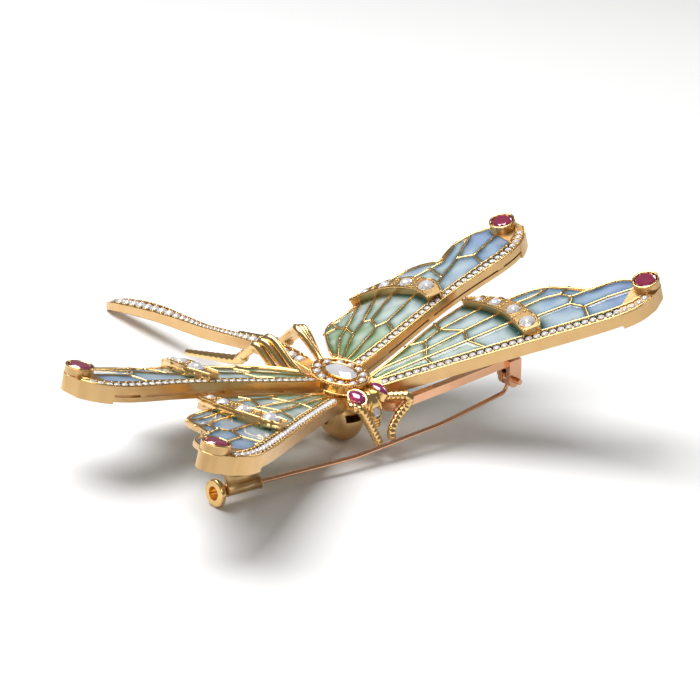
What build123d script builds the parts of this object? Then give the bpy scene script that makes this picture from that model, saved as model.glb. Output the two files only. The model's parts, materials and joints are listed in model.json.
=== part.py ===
from build123d import *
import math
import os

# A dragonfly brooch, in millimetres and degrees.
# It is drawn with its body along Y (head at -Y), its wings along X and its back down,
# with the rim of the centre setting at the origin. At the end every piece is turned by LEAN,
# because the brooch rests on its catch knob, its belly and the end of its tail.

LEAN = 7.2
SEAM = 0.06
STONE_GAP = 0.06
FLOOR_AT_BELLY = -12.0
TALL = 14.0


def floor_height(x):
    """Height of the table under the brooch at a place across it."""
    return FLOOR_AT_BELLY - math.tan(math.radians(LEAN)) * x


# Flat shapes, drawn in the plane of a wing: u runs out along the wing, v runs back to the tail.


def normals(points):
    """Unit normals, to the left of the direction of travel, by central differences."""
    result = []
    for i in range(len(points)):
        before = points[max(i - 1, 0)]
        after = points[min(i + 1, len(points) - 1)]
        du, dv = after[0] - before[0], after[1] - before[1]
        length = math.hypot(du, dv)
        result.append((-dv / length, du / length))
    return result


def shifted(points, distances):
    """The points moved along their normals."""
    pairs = zip(points, normals(points), distances)
    return [(p[0] + n[0] * d, p[1] + n[1] * d) for p, n, d in pairs]


def band(rows, grow=0.0):
    """A strip with curved edges; each row is (u, v, half width)."""
    points = [(u, v) for u, v, half in rows]
    left = shifted(points, [half + grow for u, v, half in rows])
    right = shifted(points, [-half - grow for u, v, half in rows])
    edges = [Spline(*left), Line(left[-1], right[-1]), Spline(*right), Line(right[0], left[0])]
    return make_face(edges)


def bar_between(start, end, width):
    """A straight vein from start to end, with square ends half a width beyond them."""
    du, dv = end[0] - start[0], end[1] - start[1]
    middle = ((start[0] + end[0]) / 2, (start[1] + end[1]) / 2)
    length = math.hypot(du, dv)
    angle = math.degrees(math.atan2(dv, du))
    return Pos(*middle) * Rot(0, 0, angle) * Rectangle(length + width * 0.9, width)


def panel(edge, hidden, inset):
    """A wing panel: its free edge, moved in by inset, and the corners that lie under metal.

    The free edge runs outwards from the root, with the panel on its right.
    """
    lines = []
    last = None
    for points in edge:
        moved = shifted(points, [-inset] * len(points))
        if last is not None and math.dist(last, moved[0]) > 1e-6:
            lines.append(Line(last, moved[0]))
        lines.append(Spline(*moved) if len(moved) > 2 else Line(*moved))
        last = moved[-1]
    for point in hidden:
        lines.append(Line(last, point))
        last = point
    first = shifted(edge[0], [-inset] * len(edge[0]))[0]
    lines.append(Line(last, first))
    return make_face(lines)


def prism(face, low=-TALL, high=TALL):
    """The flat shape extruded from one height to another."""
    return extrude(Pos(0, 0, low) * face, high - low)


# The four wings. A wing rises outwards from its root and its enamel curves down behind the rail.
# Tables: rail (u, v, half width), crescent (u, v, half width, stone radius),
# veins as paths of (u, v), edge as one or more curves of (u, v) from root to tip.

FORE = {
    "name": "fore",
    "slope": 17.93,
    "root_height": -3.36,
    "rail_line": (-0.616, -0.07),
    "camber_radius": 61.0,
    "camber_angle": 27.0,
    "rail_depth": 2.3,
    "rail": [
        (3.0, -3.25, 1.1),
        (16.4, -11.5, 1.12),
        (26.6, -18.0, 1.2),
        (36.6, -24.4, 1.25),
        (40.2, -26.4, 1.25),
        (43.2, -27.55, 1.15),
        (46.2, -27.75, 1.0),
    ],
    "pave": {"first": 6.3, "last": 45.0, "count": 24, "radius": 0.62},
    "crescent": [
        (28.2, -18.0, 1.5, 0),
        (29.07, -16.0, 1.8, 1.5),
        (30.45, -11.2, 1.75, 1.3),
        (30.6, -6.4, 1.45, 1.15),
        (30.05, -2.7, 1.05, 0.8),
        (29.2, 0.3, 0.6, 0),
    ],
    "collet": (47.83, -25.67),
    "root_cut": 5.4,
    "inner_edge": [
        [(4.4, -1.05), (9.56, -1.25), (15.32, -0.61), (22.29, 0.47), (28.9, 1.0)],
    ],
    "inner_hidden": [(30.0, -3.0), (30.4, -11.2), (28.6, -17.6), (16.4, -11.5), (3.0, -3.25)],
    "outer_edge": [
        [(30.2, -4.6), (33.92, -5.6), (37.3, -6.9), (39.7, -8.9), (41.15, -12.6), (42.6, -17.4)],
        [(42.6, -17.4), (44.57, -18.2), (46.9, -19.6), (48.2, -21.9), (48.7, -24.2)],
    ],
    "outer_hidden": [
        (47.83, -25.67), (45.0, -27.7), (40.2, -26.4), (36.6, -24.4), (28.6, -19.0), (30.4, -11.2),
    ],
    "veins": [
        [(4.6, -1.9), (8.45, -1.95), (15.6, -4.7), (22.91, -6.45), (29.2, -7.9)],
        [(4.6, -2.9), (9.61, -4.6), (13.9, -6.3), (21.07, -9.19), (28.8, -12.1)],
        [(22.91, -6.45), (21.07, -9.19), (21.4, -13.6)],
        [(14.4, -0.4), (17.19, -2.56), (15.6, -4.7), (13.9, -6.3), (13.4, -8.9)],
        [(17.19, -2.56), (21.16, -2.15), (22.2, 0.7)],
        [(21.16, -2.15), (22.91, -6.45)],
        [(21.16, -2.15), (29.4, -3.5)],
        [(30.5, -14.3), (33.03, -15.26), (37.65, -17.39), (38.19, -20.22), (36.1, -23.4)],
        [(37.65, -17.39), (39.31, -15.96), (43.2, -17.7)],
        [(31.5, -10.2), (34.31, -10.96), (37.04, -11.86), (39.05, -13.52), (39.31, -15.96)],
        [(38.19, -20.22), (42.34, -21.86), (46.4, -24.2)],
        [(39.05, -13.52), (41.7, -13.1)],
        [(31.3, -7.3), (34.55, -8.67), (37.19, -9.67), (40.4, -9.6)],
    ],
    "posts": [],
}

HIND = {
    "name": "hind",
    "slope": 15.34,
    "root_height": -1.6,
    "rail_line": (0.076, 1.94),
    "camber_radius": 33.3,
    "camber_angle": 46.0,
    "rail_depth": 1.4,
    "rail": [
        (3.0, 1.15, 1.05),
        (11.3, 1.6, 1.05),
        (25.7, 2.95, 0.95),
        (34.3, 3.15, 1.1),
        (40.6, 3.05, 1.2),
        (44.4, 3.6, 1.15),
        (47.0, 4.9, 1.0),
        (48.6, 6.5, 0.8),
    ],
    "pave": {"first": 5.6, "last": 47.3, "count": 24, "radius": 0.58},
    "crescent": [
        (24.9, 3.0, 1.4, 0),
        (26.0, 6.4, 1.75, 1.5),
        (25.35, 10.9, 1.75, 1.25),
        (23.8, 15.1, 1.4, 1.05),
        (21.5, 18.1, 1.0, 0.8),
        (19.3, 19.9, 0.6, 0),
    ],
    "collet": (47.17, 9.2),
    "root_cut": 5.0,
    "inner_edge": [
        [(3.7, 6.3), (6.1, 10.86), (8.95, 15.3), (11.2, 18.1), (13.6, 19.3), (16.2, 18.7), (19.0, 19.0)],
    ],
    "inner_hidden": [(22.0, 17.5), (25.3, 10.9), (26.0, 6.4), (24.9, 2.9), (11.3, 1.6), (3.0, 1.15)],
    "outer_edge": [
        [(22.0, 18.5), (23.4, 19.2), (26.5, 19.6), (29.8, 18.6), (32.4, 16.2), (34.0, 13.3), (34.9, 12.9)],
        [(34.9, 12.9), (36.9, 13.9), (39.65, 14.7), (42.5, 14.4), (44.9, 13.3), (47.2, 11.0)],
    ],
    "outer_hidden": [
        (47.17, 9.2), (44.4, 3.6), (34.3, 3.15), (25.7, 2.95), (26.0, 6.4), (25.5, 10.9), (24.6, 14.0),
    ],
    "veins": [
        [(4.0, 3.3), (12.45, 5.86), (14.07, 6.65), (16.07, 5.99), (24.4, 7.95)],
        [(16.07, 5.99), (14.6, 2.6)],
        [(14.07, 6.65), (15.18, 9.31), (23.9, 13.2)],
        [(15.18, 9.31), (14.01, 10.44)],
        [(4.0, 4.3), (10.78, 9.09), (14.01, 10.44), (22.6, 16.7)],
        [(10.78, 9.09), (11.89, 12.45), (11.6, 14.76), (9.3, 16.2)],
        [(11.89, 12.45), (15.53, 15.24), (19.4, 18.4)],
        [(11.6, 14.76), (13.9, 19.6)],
        [(4.0, 5.4), (8.7, 10.6), (11.89, 12.45)],
        [(27.4, 6.3), (30.06, 7.39), (36.22, 9.74), (38.25, 7.43), (37.0, 4.0)],
        [(38.25, 7.43), (45.2, 8.8)],
        [(36.22, 9.74), (43.6, 14.2)],
        [(30.4, 7.5), (31.83, 12.24), (34.31, 11.7), (40.6, 14.9)],
        [(31.83, 12.24), (26.4, 13.9)],
    ],
    "posts": [22.2, 39.3],
}

WINGS = [FORE, HIND]

WIRE = 0.55
VEIN = 0.42
METAL_TOP, METAL_BOTTOM = -0.12, -0.95
ENAMEL_TOP, ENAMEL_BOTTOM = -0.27, -0.8
CRESCENT_TOP, CRESCENT_BOTTOM = 1.2, -1.0
COLLET_R, COLLET_TOP, COLLET_DEPTH = 2.3, 1.15, 2.9
RUBY_R, RUBY_TABLE = 1.95, 1.25
UNDER_RAIL_TOP, UNDER_RAIL_BOTTOM = -1.85, -2.65
PAVE_DEPTH = 0.75
PAVE_EDGE = 0.32


def wing_place(wing):
    """Where the flat plane of a wing stands in the brooch."""
    return Pos(0, 0, wing["root_height"]) * Rot(0, -wing["slope"], 0)


def camber_shell(wing, top, bottom):
    """The space between two heights over the curved surface of a wing, flat ahead of the rail."""
    radius = wing["camber_radius"]
    angle = math.radians(wing["camber_angle"])
    reach = 9.0

    def arc_point(height, share):
        r = radius + height
        return (r * math.sin(angle * share), r * math.cos(angle * share) - radius)

    upper = [arc_point(top, share) for share in (0, 0.5, 1)]
    lower = [arc_point(bottom, share) for share in (1, 0.5, 0)]
    edges = [
        Line((-reach, top), upper[0]),
        ThreePointArc(*upper),
        Line(upper[2], lower[0]),
        ThreePointArc(*lower),
        Line(lower[2], (-reach, bottom)),
        Line((-reach, bottom), (-reach, top)),
    ]
    along = rail_direction(wing)
    behind = (-along[1], along[0], 0)
    start = (-20 * along[0], wing["rail_line"][1] - 20 * along[1], 0)
    return extrude(Plane(start, x_dir=behind, z_dir=along) * make_face(edges), 90)


def rail_direction(wing):
    """Unit vector along the straight inner edge of the rail."""
    slope = wing["rail_line"][0]
    length = math.hypot(1, slope)
    return (1 / length, slope / length, 0)


def on_camber(wing, u, v, height):
    """A place over the curved surface of a wing, with its Z along the surface's normal."""
    slope, start = wing["rail_line"]
    behind = max((v - slope * u - start) / math.hypot(1, slope), 0)
    radius = wing["camber_radius"]
    angle = math.asin(behind / radius)
    along = rail_direction(wing)
    side = (-along[1], along[0])
    reach = (radius + height) * math.sin(angle) - behind
    drop = (radius + height) * math.cos(angle) - radius
    normal = (side[0] * math.sin(angle), side[1] * math.sin(angle), math.cos(angle))
    return Plane((u + side[0] * reach, v + side[1] * reach, drop), x_dir=along, z_dir=normal)


def rail_path(wing):
    """The middle line of a rail."""
    return Spline(*[(u, v) for u, v, half in wing["rail"]])


def rail_points(wing, count, first, last):
    """Points along the middle of a rail, evenly spaced between two distances out."""
    path = rail_path(wing)
    shares = [i / 400 for i in range(401)]
    samples = [(path @ share) for share in shares]
    start = next(s for s, p in zip(shares, samples) if p.X >= first)
    stop = next(s for s, p in zip(shares, samples) if p.X >= last)
    return [path @ (start + (stop - start) * i / (count - 1)) for i in range(count)]


def rail_rows_between(wing, first, last, trim):
    """The rail's rows between two distances out, each side narrower by trim."""
    rows = wing["rail"]

    def at(u):
        for a, b in zip(rows, rows[1:]):
            if a[0] <= u <= b[0]:
                share = (u - a[0]) / (b[0] - a[0])
                return tuple(a[k] + (b[k] - a[k]) * share for k in range(3))
        return rows[-1]

    inside = [row for row in rows if first < row[0] < last]
    chosen = [at(first)] + inside + [at(last)]
    return [(u, v, half - trim) for u, v, half in chosen]


def crescent_face(wing, grow=0.0):
    """The crescent that crosses a wing, seen from above."""
    return band([(u, v, half) for u, v, half, stone in wing["crescent"]], grow)


def open_area(wing, grow):
    """Where a wing is open between its metal, every edge moved in by grow."""
    inset = WIRE + grow
    area = panel(wing["inner_edge"], wing["inner_hidden"], inset)
    area += panel(wing["outer_edge"], wing["outer_hidden"], inset)
    area -= band(wing["rail"], grow)
    area -= crescent_face(wing, grow)
    area -= Pos(*wing["collet"]) * Circle(COLLET_R + grow)
    area -= Pos(wing["root_cut"] + grow - 10, 0) * Rectangle(20, 60)
    for path in wing["veins"]:
        for start, end in zip(path, path[1:]):
            area -= bar_between(start, end, VEIN + 2 * grow)
    return area


def wing_area(wing):
    """The whole outline of a wing's cells and their wire."""
    inner = panel(wing["inner_edge"], wing["inner_hidden"], 0)
    return inner + panel(wing["outer_edge"], wing["outer_hidden"], 0)


def stone(radius, table, crown, pavilion, sides=8):
    """A cut stone with its girdle at height 0: a table, a crown and a pavilion."""
    sections = [
        Pos(0, 0, -pavilion) * RegularPolygon(radius * 0.16, sides),
        RegularPolygon(radius, sides),
        Pos(0, 0, crown) * RegularPolygon(radius * table, sides),
    ]
    return loft(sections, ruled=True)


def wing_frame(wing):
    """The metal of one wing: rail, wire, veins, crescent and tip collet, soldered in one."""
    cells = open_area(wing, 0)
    metal = prism(wing_area(wing) - cells) & camber_shell(wing, METAL_TOP, METAL_BOTTOM)
    metal += prism(band(wing["rail"]), -wing["rail_depth"], 0)
    metal += prism(crescent_face(wing)) & camber_shell(wing, CRESCENT_TOP, CRESCENT_BOTTOM)
    if wing["posts"]:
        metal += prism(band(wing["rail"], -0.12), UNDER_RAIL_BOTTOM, UNDER_RAIL_TOP)
        stations = [(u - 0.7, u + 0.7) for u in wing["posts"]]
        for first, last in [(3.0, 11.3)] + stations + [(44.4, 48.6)]:
            rows = rail_rows_between(wing, first, last, 0.15)
            metal += prism(band(rows), UNDER_RAIL_TOP - 0.2, -wing["rail_depth"] + 0.2)
    collet = Pos(*wing["collet"]) * Circle(COLLET_R)
    metal += prism(collet, -COLLET_DEPTH, COLLET_TOP)
    groove = rail_rows_between(wing, wing["pave"]["first"] - 0.9, wing["pave"]["last"] + 0.8, PAVE_EDGE)
    metal -= prism(band(groove), -PAVE_DEPTH, 1)
    metal -= prism(Pos(*wing["collet"]) * Circle(RUBY_R + STONE_GAP), 0.35, 3)
    metal -= prism(Pos(*wing["collet"]) * Circle(RUBY_R * 0.72), -5, 3)
    for u, v, half, radius in wing["crescent"]:
        if radius:
            seat = on_camber(wing, u, v, CRESCENT_TOP - 0.75) * Circle(radius + STONE_GAP)
            metal -= extrude(seat, 4)
            metal -= extrude(on_camber(wing, u, v, -3) * Circle(radius * 0.6), 7)
    return metal


def enamel(wing):
    """The panes of one wing, each standing in its own cell."""
    shell = camber_shell(wing, ENAMEL_TOP, ENAMEL_BOTTOM)
    panes = []
    for cell in open_area(wing, 0.05).faces():
        pane = prism(cell) & shell
        panes += [solid for solid in pane.solids() if solid.volume > 0.05]
    return panes


def crescent_stones(wing):
    """The four diamonds of a crescent, largest at the rail."""
    stones = []
    for u, v, half, radius in wing["crescent"]:
        if radius:
            place = on_camber(wing, u, v, CRESCENT_TOP - 0.1).location
            stones.append(place * stone(radius, 0.55, 0.4, 0.6))
    return stones


def pave(wing):
    """The diamonds in the channel of a rail."""
    row = wing["pave"]
    cut = stone(row["radius"], 0.6, 0.2, 0.42)
    points = rail_points(wing, row["count"], row["first"], row["last"])
    return [Pos(p.X, p.Y, -0.1) * cut for p in points]


def tip_ruby(wing):
    """The ruby in the collet at the tip."""
    return Pos(*wing["collet"], 0.75) * stone(RUBY_R, 0.72, RUBY_TABLE - 0.75, 1.3, 12)


# The body.

THORAX_RIM = (4.2, 5.8)
THORAX_RIM_HEIGHT = 1.9
THORAX_CORE = (3.0, 4.8)
THORAX_BOTTOM = -5.2
THORAX_WALL = 0.9
CENTRE_STONE = {"x": 0.2, "y": -0.1, "half_x": 1.95, "half_y": 3.55}
HALO = {"count": 12, "half_x": 3.25, "half_y": 4.8, "radius": 0.72}


def thorax_body(grow=0.0):
    """Oval bezel on a smaller oval core, without its seats."""
    rim = extrude(Pos(0, 0, -THORAX_RIM_HEIGHT - grow) * Ellipse(THORAX_RIM[0] + grow, THORAX_RIM[1] + grow),
                  THORAX_RIM_HEIGHT + 2 * grow)
    height = -THORAX_BOTTOM - THORAX_RIM_HEIGHT + 0.5
    core = Pos(0, 0, THORAX_BOTTOM - grow) * Ellipse(THORAX_CORE[0] + grow, THORAX_CORE[1] + grow)
    return rim + extrude(core, height + grow)


def thorax():
    """The setting of the centre stone and its halo."""
    solid = thorax_body()
    hollow = Ellipse(THORAX_CORE[0] - THORAX_WALL, THORAX_CORE[1] - THORAX_WALL)
    solid -= extrude(Pos(0, 0, THORAX_BOTTOM - 1) * hollow, THORAX_WALL + 2.6)
    solid -= extrude(Pos(0, 0, -0.75) * Ellipse(THORAX_RIM[0] - 0.2, THORAX_RIM[1] - 0.2), 2)
    middle = Pos(CENTRE_STONE["x"], CENTRE_STONE["y"], 0)
    half_x, half_y = CENTRE_STONE["half_x"], CENTRE_STONE["half_y"]
    solid += extrude(middle * Pos(0, 0, -1) * Ellipse(half_x + 0.25, half_y + 0.25), 1.2)
    solid -= extrude(middle * Pos(0, 0, -0.7) * Ellipse(half_x + STONE_GAP, half_y + STONE_GAP), 3)
    return solid


def oval_stone(half_x, half_y, table, crown, pavilion, sides=16):
    """An oval cut stone with a table, a crown and a pavilion."""
    def outline(scale):
        angles = [2 * math.pi * (i + 0.5) / sides for i in range(sides)]
        corners = [(scale * half_x * math.cos(a), scale * half_y * math.sin(a)) for a in angles]
        return make_face(Polyline(*corners, close=True))

    sections = [Pos(0, 0, -pavilion) * outline(0.25), outline(1), Pos(0, 0, crown) * outline(table)]
    return loft(sections, ruled=True)


def centre_diamond():
    """The rose-cut stone in the middle of the cluster."""
    place = Pos(CENTRE_STONE["x"], CENTRE_STONE["y"], 0.05)
    return place * oval_stone(CENTRE_STONE["half_x"], CENTRE_STONE["half_y"], 0.5, 0.85, 0.55)


def halo():
    """The ring of small diamonds round the centre stone."""
    cut = stone(HALO["radius"], 0.6, 0.3, 0.45)
    angles = [2 * math.pi * (i + 0.5) / HALO["count"] for i in range(HALO["count"])]
    return [Pos(HALO["half_x"] * math.cos(a), HALO["half_y"] * math.sin(a), -0.2) * cut for a in angles]


HEAD_SECTIONS = [
    {"z": -0.95, "front": -8.3, "back": -6.0, "half_width": 1.8},
    {"z": -2.3, "front": -9.1, "back": -5.7, "half_width": 2.4},
    {"z": -4.1, "front": -9.35, "back": -5.8, "half_width": 1.8},
    {"z": -5.6, "front": -9.6, "back": -7.2, "half_width": 1.1},
    {"z": -6.5, "front": -9.7, "back": -8.3, "half_width": 0.6},
]
NECK = {"z": -3.5, "radius": 1.4, "back": -3.9, "front": -6.8}
EYE = {"x": 2.33, "y": -7.14, "z": -1.25, "half_long": 1.85, "half_wide": 1.05, "rim": 0.24}
HEAD_STONE = {"y": -9.3, "z": -3.9, "radius": 0.85}


def head_body(grow=0.0):
    """The face from the crown down to the muzzle, on a short neck."""
    sections = []
    for row in HEAD_SECTIONS:
        middle = (row["front"] + row["back"]) / 2
        half_depth = (row["back"] - row["front"]) / 2 + grow
        sections.append(Pos(0, middle, row["z"]) * Ellipse(row["half_width"] + grow, half_depth))
    neck = Plane((0, NECK["front"], NECK["z"]), z_dir=(0, 1, 0)) * Circle(NECK["radius"] + grow)
    return loft(sections) + extrude(neck, NECK["back"] - NECK["front"])


def eye_plane(side):
    """Where an eye sits: long axis to the front, facing up and outwards."""
    return Plane((side * EYE["x"], EYE["y"], EYE["z"]), x_dir=(0, -1, -0.18), z_dir=(side * 0.5, -0.16, 0.85))


def eye_rim(side, grow=0.0):
    """The collar round an eye."""
    rim = EYE["rim"] + grow
    outline = Ellipse(EYE["half_long"] + rim, EYE["half_wide"] + rim)
    return extrude(eye_plane(side) * Pos(0, 0, -1.2 - grow) * outline, 1.3 + 2 * grow)


def eye(side):
    """An oval ruby cabochon."""
    rows = [(-0.45, 0.8), (0, 1), (0.4, 0.86), (0.68, 0.52)]
    long, wide = EYE["half_long"], EYE["half_wide"]
    sections = [Pos(0, 0, height) * Ellipse(long * scale, wide * scale) for height, scale in rows]
    return eye_plane(side) * loft(sections, ruled=True)


def head_stone_plane():
    """Where the stone on the face sits."""
    return Plane((0, HEAD_STONE["y"], HEAD_STONE["z"]), x_dir=(1, 0, 0), z_dir=(0, -0.92, 0.39))


def head():
    """The gold head with seats for its stones."""
    solid = head_body() + eye_rim(1) + eye_rim(-1)
    solid += extrude(head_stone_plane() * Pos(0, 0, -0.9) * Circle(HEAD_STONE["radius"] + 0.25), 1.05)
    solid -= extrude(head_stone_plane() * Pos(0, 0, -0.5) * Circle(HEAD_STONE["radius"] + STONE_GAP), 2)
    for side in (1, -1):
        seat = Ellipse(EYE["half_long"] + STONE_GAP, EYE["half_wide"] + STONE_GAP)
        solid -= extrude(eye_plane(side) * Pos(0, 0, -0.55) * seat, 3)
    return solid - thorax_body(SEAM)


def head_diamond():
    """The round diamond on the face."""
    cut = stone(HEAD_STONE["radius"], 0.6, 0.3, 0.45)
    return head_stone_plane() * cut


BELLY_SECTIONS = [
    {"z": -5.26, "half_x": 2.9, "half_y": 3.7, "y": -0.3},
    {"z": -7.2, "half_x": 3.6, "half_y": 4.4, "y": -0.3},
    {"z": -9.4, "half_x": 3.3, "half_y": 4.0, "y": -0.3},
    {"z": -11.2, "half_x": 2.1, "half_y": 2.6, "y": -0.35},
    {"z": -11.9, "half_x": 1.0, "half_y": 1.3, "y": -0.4},
]
BELLY_WALL = 0.75
BELLY_WINDOW = {"x": -0.6, "z": -6.7, "width": 2.8, "height": 1.3}


def belly_body(grow=0.0):
    """The rounded cup under the thorax, down to the table."""
    sections = []
    for row in BELLY_SECTIONS:
        outline = Ellipse(row["half_x"] + grow, row["half_y"] + grow)
        sections.append(Pos(0, row["y"], row["z"]) * outline)
    return loft(sections)


def belly():
    """The hollow cup with the window in its front and a round opening in each side."""
    inside = [Pos(0, row["y"], row["z"] + 0.05) * Ellipse(row["half_x"] - BELLY_WALL, row["half_y"] - BELLY_WALL)
              for row in BELLY_SECTIONS[:4]]
    solid = belly_body() - loft(inside)
    top = BELLY_SECTIONS[0]
    mouth = Ellipse(top["half_x"] - BELLY_WALL, top["half_y"] - BELLY_WALL)
    solid -= extrude(Pos(0, top["y"], top["z"] - 0.3) * mouth, 1)
    window = BELLY_WINDOW
    solid -= Pos(window["x"], -4.4, window["z"]) * Box(window["width"], 3, window["height"])
    solid -= Plane((-6, -0.3, -7.6), z_dir=(1, 0, 0)) * Cylinder(0.8, 24)
    return solid & floor_cut()


def floor_cut():
    """Everything above the table."""
    table = Plane((0, 0, FLOOR_AT_BELLY), z_dir=(math.sin(math.radians(LEAN)), 0, math.cos(math.radians(LEAN))))
    return extrude(table * Rectangle(200, 200), 60)


TAIL_SECTIONS = [
    {"y": 5.0, "top": -1.95, "half_width": 1.1, "depth": 1.5},
    {"y": 11.5, "top": -1.3, "half_width": 1.5, "depth": 1.9},
    {"y": 18.0, "top": -1.6, "half_width": 1.7, "depth": 2.2},
    {"y": 24.0, "top": -2.4, "half_width": 1.25, "depth": 2.2},
    {"y": 30.0, "top": -3.6, "half_width": 0.9, "depth": 2.2},
    {"y": 37.0, "top": -4.85, "half_width": 0.78, "depth": 2.25},
    {"y": 44.0, "top": -5.6, "half_width": 1.05, "depth": 2.25},
    {"y": 50.5, "top": -6.35, "half_width": 1.6, "depth": 2.1},
    {"y": 57.0, "top": -7.5, "half_width": 1.8, "depth": 2.0},
    {"y": 62.5, "top": -8.8, "half_width": 1.6, "depth": 1.85},
    {"y": 66.0, "top": -10.0, "half_width": 1.0, "depth": 1.6},
]
TAIL_TIP = {"y": 66.9, "top": -10.75, "half_width": 0.45, "depth": 1.2}
TAIL_PAVE = {"first": 10.5, "last": 62.5, "gap": 0.55, "edge": 0.3, "deep": 0.8}


def tail_outline(row, grow=0.0):
    """A cross-section of the tail: flat top, straight sides, rounded underneath."""
    half = row["half_width"] + grow
    bottom = -row["depth"] - grow
    corner = min(half, row["depth"]) * 0.45
    inner = half - corner
    edges = [
        Line((-half, grow), (half, grow)),
        Line((half, grow), (half, bottom + corner)),
        RadiusArc((half, bottom + corner), (inner, bottom), corner * 1.02),
        Line((inner, bottom), (-inner, bottom)),
        RadiusArc((-inner, bottom), (-half, bottom + corner), corner * 1.02),
        Line((-half, bottom + corner), (-half, grow)),
    ]
    place = Plane((0, row["y"], row["top"]), x_dir=(1, 0, 0), z_dir=(0, -1, 0))
    return place * make_face(edges)


def tail_body(grow=0.0):
    """The long tail, waisted in the middle and widest before its end."""
    rows = TAIL_SECTIONS + [TAIL_TIP]
    return loft([tail_outline(row, grow) for row in rows])


def tail_at(y):
    """The tail's top and half width at a place along it."""
    rows = TAIL_SECTIONS + [TAIL_TIP]
    for a, b in zip(rows, rows[1:]):
        if a["y"] <= y <= b["y"]:
            share = (y - a["y"]) / (b["y"] - a["y"])
            return {key: a[key] + (b[key] - a[key]) * share for key in a}
    return rows[-1]


def abdomen():
    """The tail with the channel for its diamonds."""
    rows = [tail_at(TAIL_PAVE["first"] - 1)]
    rows += [row for row in TAIL_SECTIONS if TAIL_PAVE["first"] < row["y"] < TAIL_PAVE["last"] - 1]
    rows += [tail_at(TAIL_PAVE["last"] + 1.2)]
    sections = []
    for row in rows:
        place = Plane((0, row["y"], row["top"]), x_dir=(1, 0, 0), z_dir=(0, -1, 0))
        width = 2 * (row["half_width"] - TAIL_PAVE["edge"])
        sections.append(place * Pos(0, 0.6, 0) * Rectangle(width, 1.2 + 2 * TAIL_PAVE["deep"]))
    solid = tail_body() - loft(sections)
    return (solid & floor_cut()) - thorax_body(SEAM)


def tail_pave():
    """Diamonds down the tail, sized to its width."""
    stones = []
    y = TAIL_PAVE["last"]
    while y > TAIL_PAVE["first"]:
        row = tail_at(y)
        ahead = tail_at(y - 1)
        radius = min(row["half_width"] - TAIL_PAVE["edge"] - 0.1, 1.15)
        slope = row["top"] - ahead["top"]
        place = Plane((0, y, row["top"] - 0.12), x_dir=(1, 0, 0), z_dir=(0, -slope, 1))
        stones.append(place.location * stone(radius, 0.6, 0.25, 0.45))
        y -= 2 * radius + TAIL_PAVE["gap"]
    return stones


# The legs.

FRONT_LEGS = {
    1: [
        {"at": (1.8, -6.6, -3.5), "radius": 0.6},
        {"at": (4.9, -9.1, -2.1), "radius": 0.6},
        {"at": (5.3, -11.0, -2.0), "radius": 0.6},
        {"at": (4.6, -10.6, -4.4), "radius": 0.6},
        {"at": (3.1, -9.8, -6.0), "radius": 0.6},
        {"at": (2.05, -10.0, -7.2), "radius": 0.6},
        {"at": (1.4, -10.95, -9.0), "radius": 0.48},
    ],
    -1: [
        {"at": (-1.8, -6.6, -3.5), "radius": 0.6},
        {"at": (-4.6, -7.6, -2.0), "radius": 0.6},
        {"at": (-4.2, -9.9, -1.6), "radius": 0.6},
        {"at": (-2.8, -10.1, -4.0), "radius": 0.6},
        {"at": (-1.95, -10.3, -6.3), "radius": 0.6},
        {"at": (-1.5, -11.0, -8.4), "radius": 0.48},
    ],
}

HIND_BARS = [
    [(1.9, 3.6, -4.5), (4.3, 9.4, -3.3), (5.0, 15.8, 0.5), (5.25, 19.2, -2.9)],
    [(1.4, 3.8, -4.5), (3.3, 9.4, -3.2), (3.75, 16.0, 0.6), (5.25, 19.2, -2.9)],
    [(0.9, 4.0, -4.5), (2.3, 9.4, -3.1), (2.5, 16.1, 0.65), (5.25, 19.2, -2.9)],
]
HIND_BAR_R = 0.66
HIND_FOOT = [
    {"at": (5.25, 19.2, -2.9), "radius": 1.0},
    {"at": (5.5, 25.0, -4.6), "radius": 0.85},
    {"at": (5.9, 34.6, -7.2), "radius": 0.55},
]


def limb(rows):
    """Tapered round bars joined by balls."""
    solid = None
    for a, b in zip(rows, rows[1:]):
        start, end = Vector(*a["at"]), Vector(*b["at"])
        place = Plane(start, z_dir=end - start)
        length = (end - start).length
        base = (Align.CENTER, Align.CENTER, Align.MIN)
        if a["radius"] == b["radius"]:
            bar = place * Cylinder(a["radius"], length, align=base)
        else:
            bar = place * Cone(a["radius"], b["radius"], length, align=base)
        ball = Pos(*b["at"]) * Sphere(b["radius"])
        solid = bar + ball if solid is None else solid + bar + ball
    return solid


def front_leg(side):
    """A front leg, bent at its knee and reaching down under the muzzle."""
    return limb(FRONT_LEGS[side]) - head_body(SEAM) - thorax_body(SEAM) - eye_rim(side, SEAM)


def hind_leg(side):
    """A hind leg: three ribs that arch over the knee, and one long foot beside the tail."""
    solid = limb([{"at": (side * row["at"][0], *row["at"][1:]), "radius": row["radius"]} for row in HIND_FOOT])
    for path in HIND_BARS:
        solid += limb([{"at": (side * x, y, z), "radius": HIND_BAR_R} for x, y, z in path])
    return solid - thorax_body(SEAM) - tail_body(SEAM) - belly_body(SEAM)


# The pin and its catch, behind the wings. The pin lies in the plane y = PIN_Y.

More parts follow.
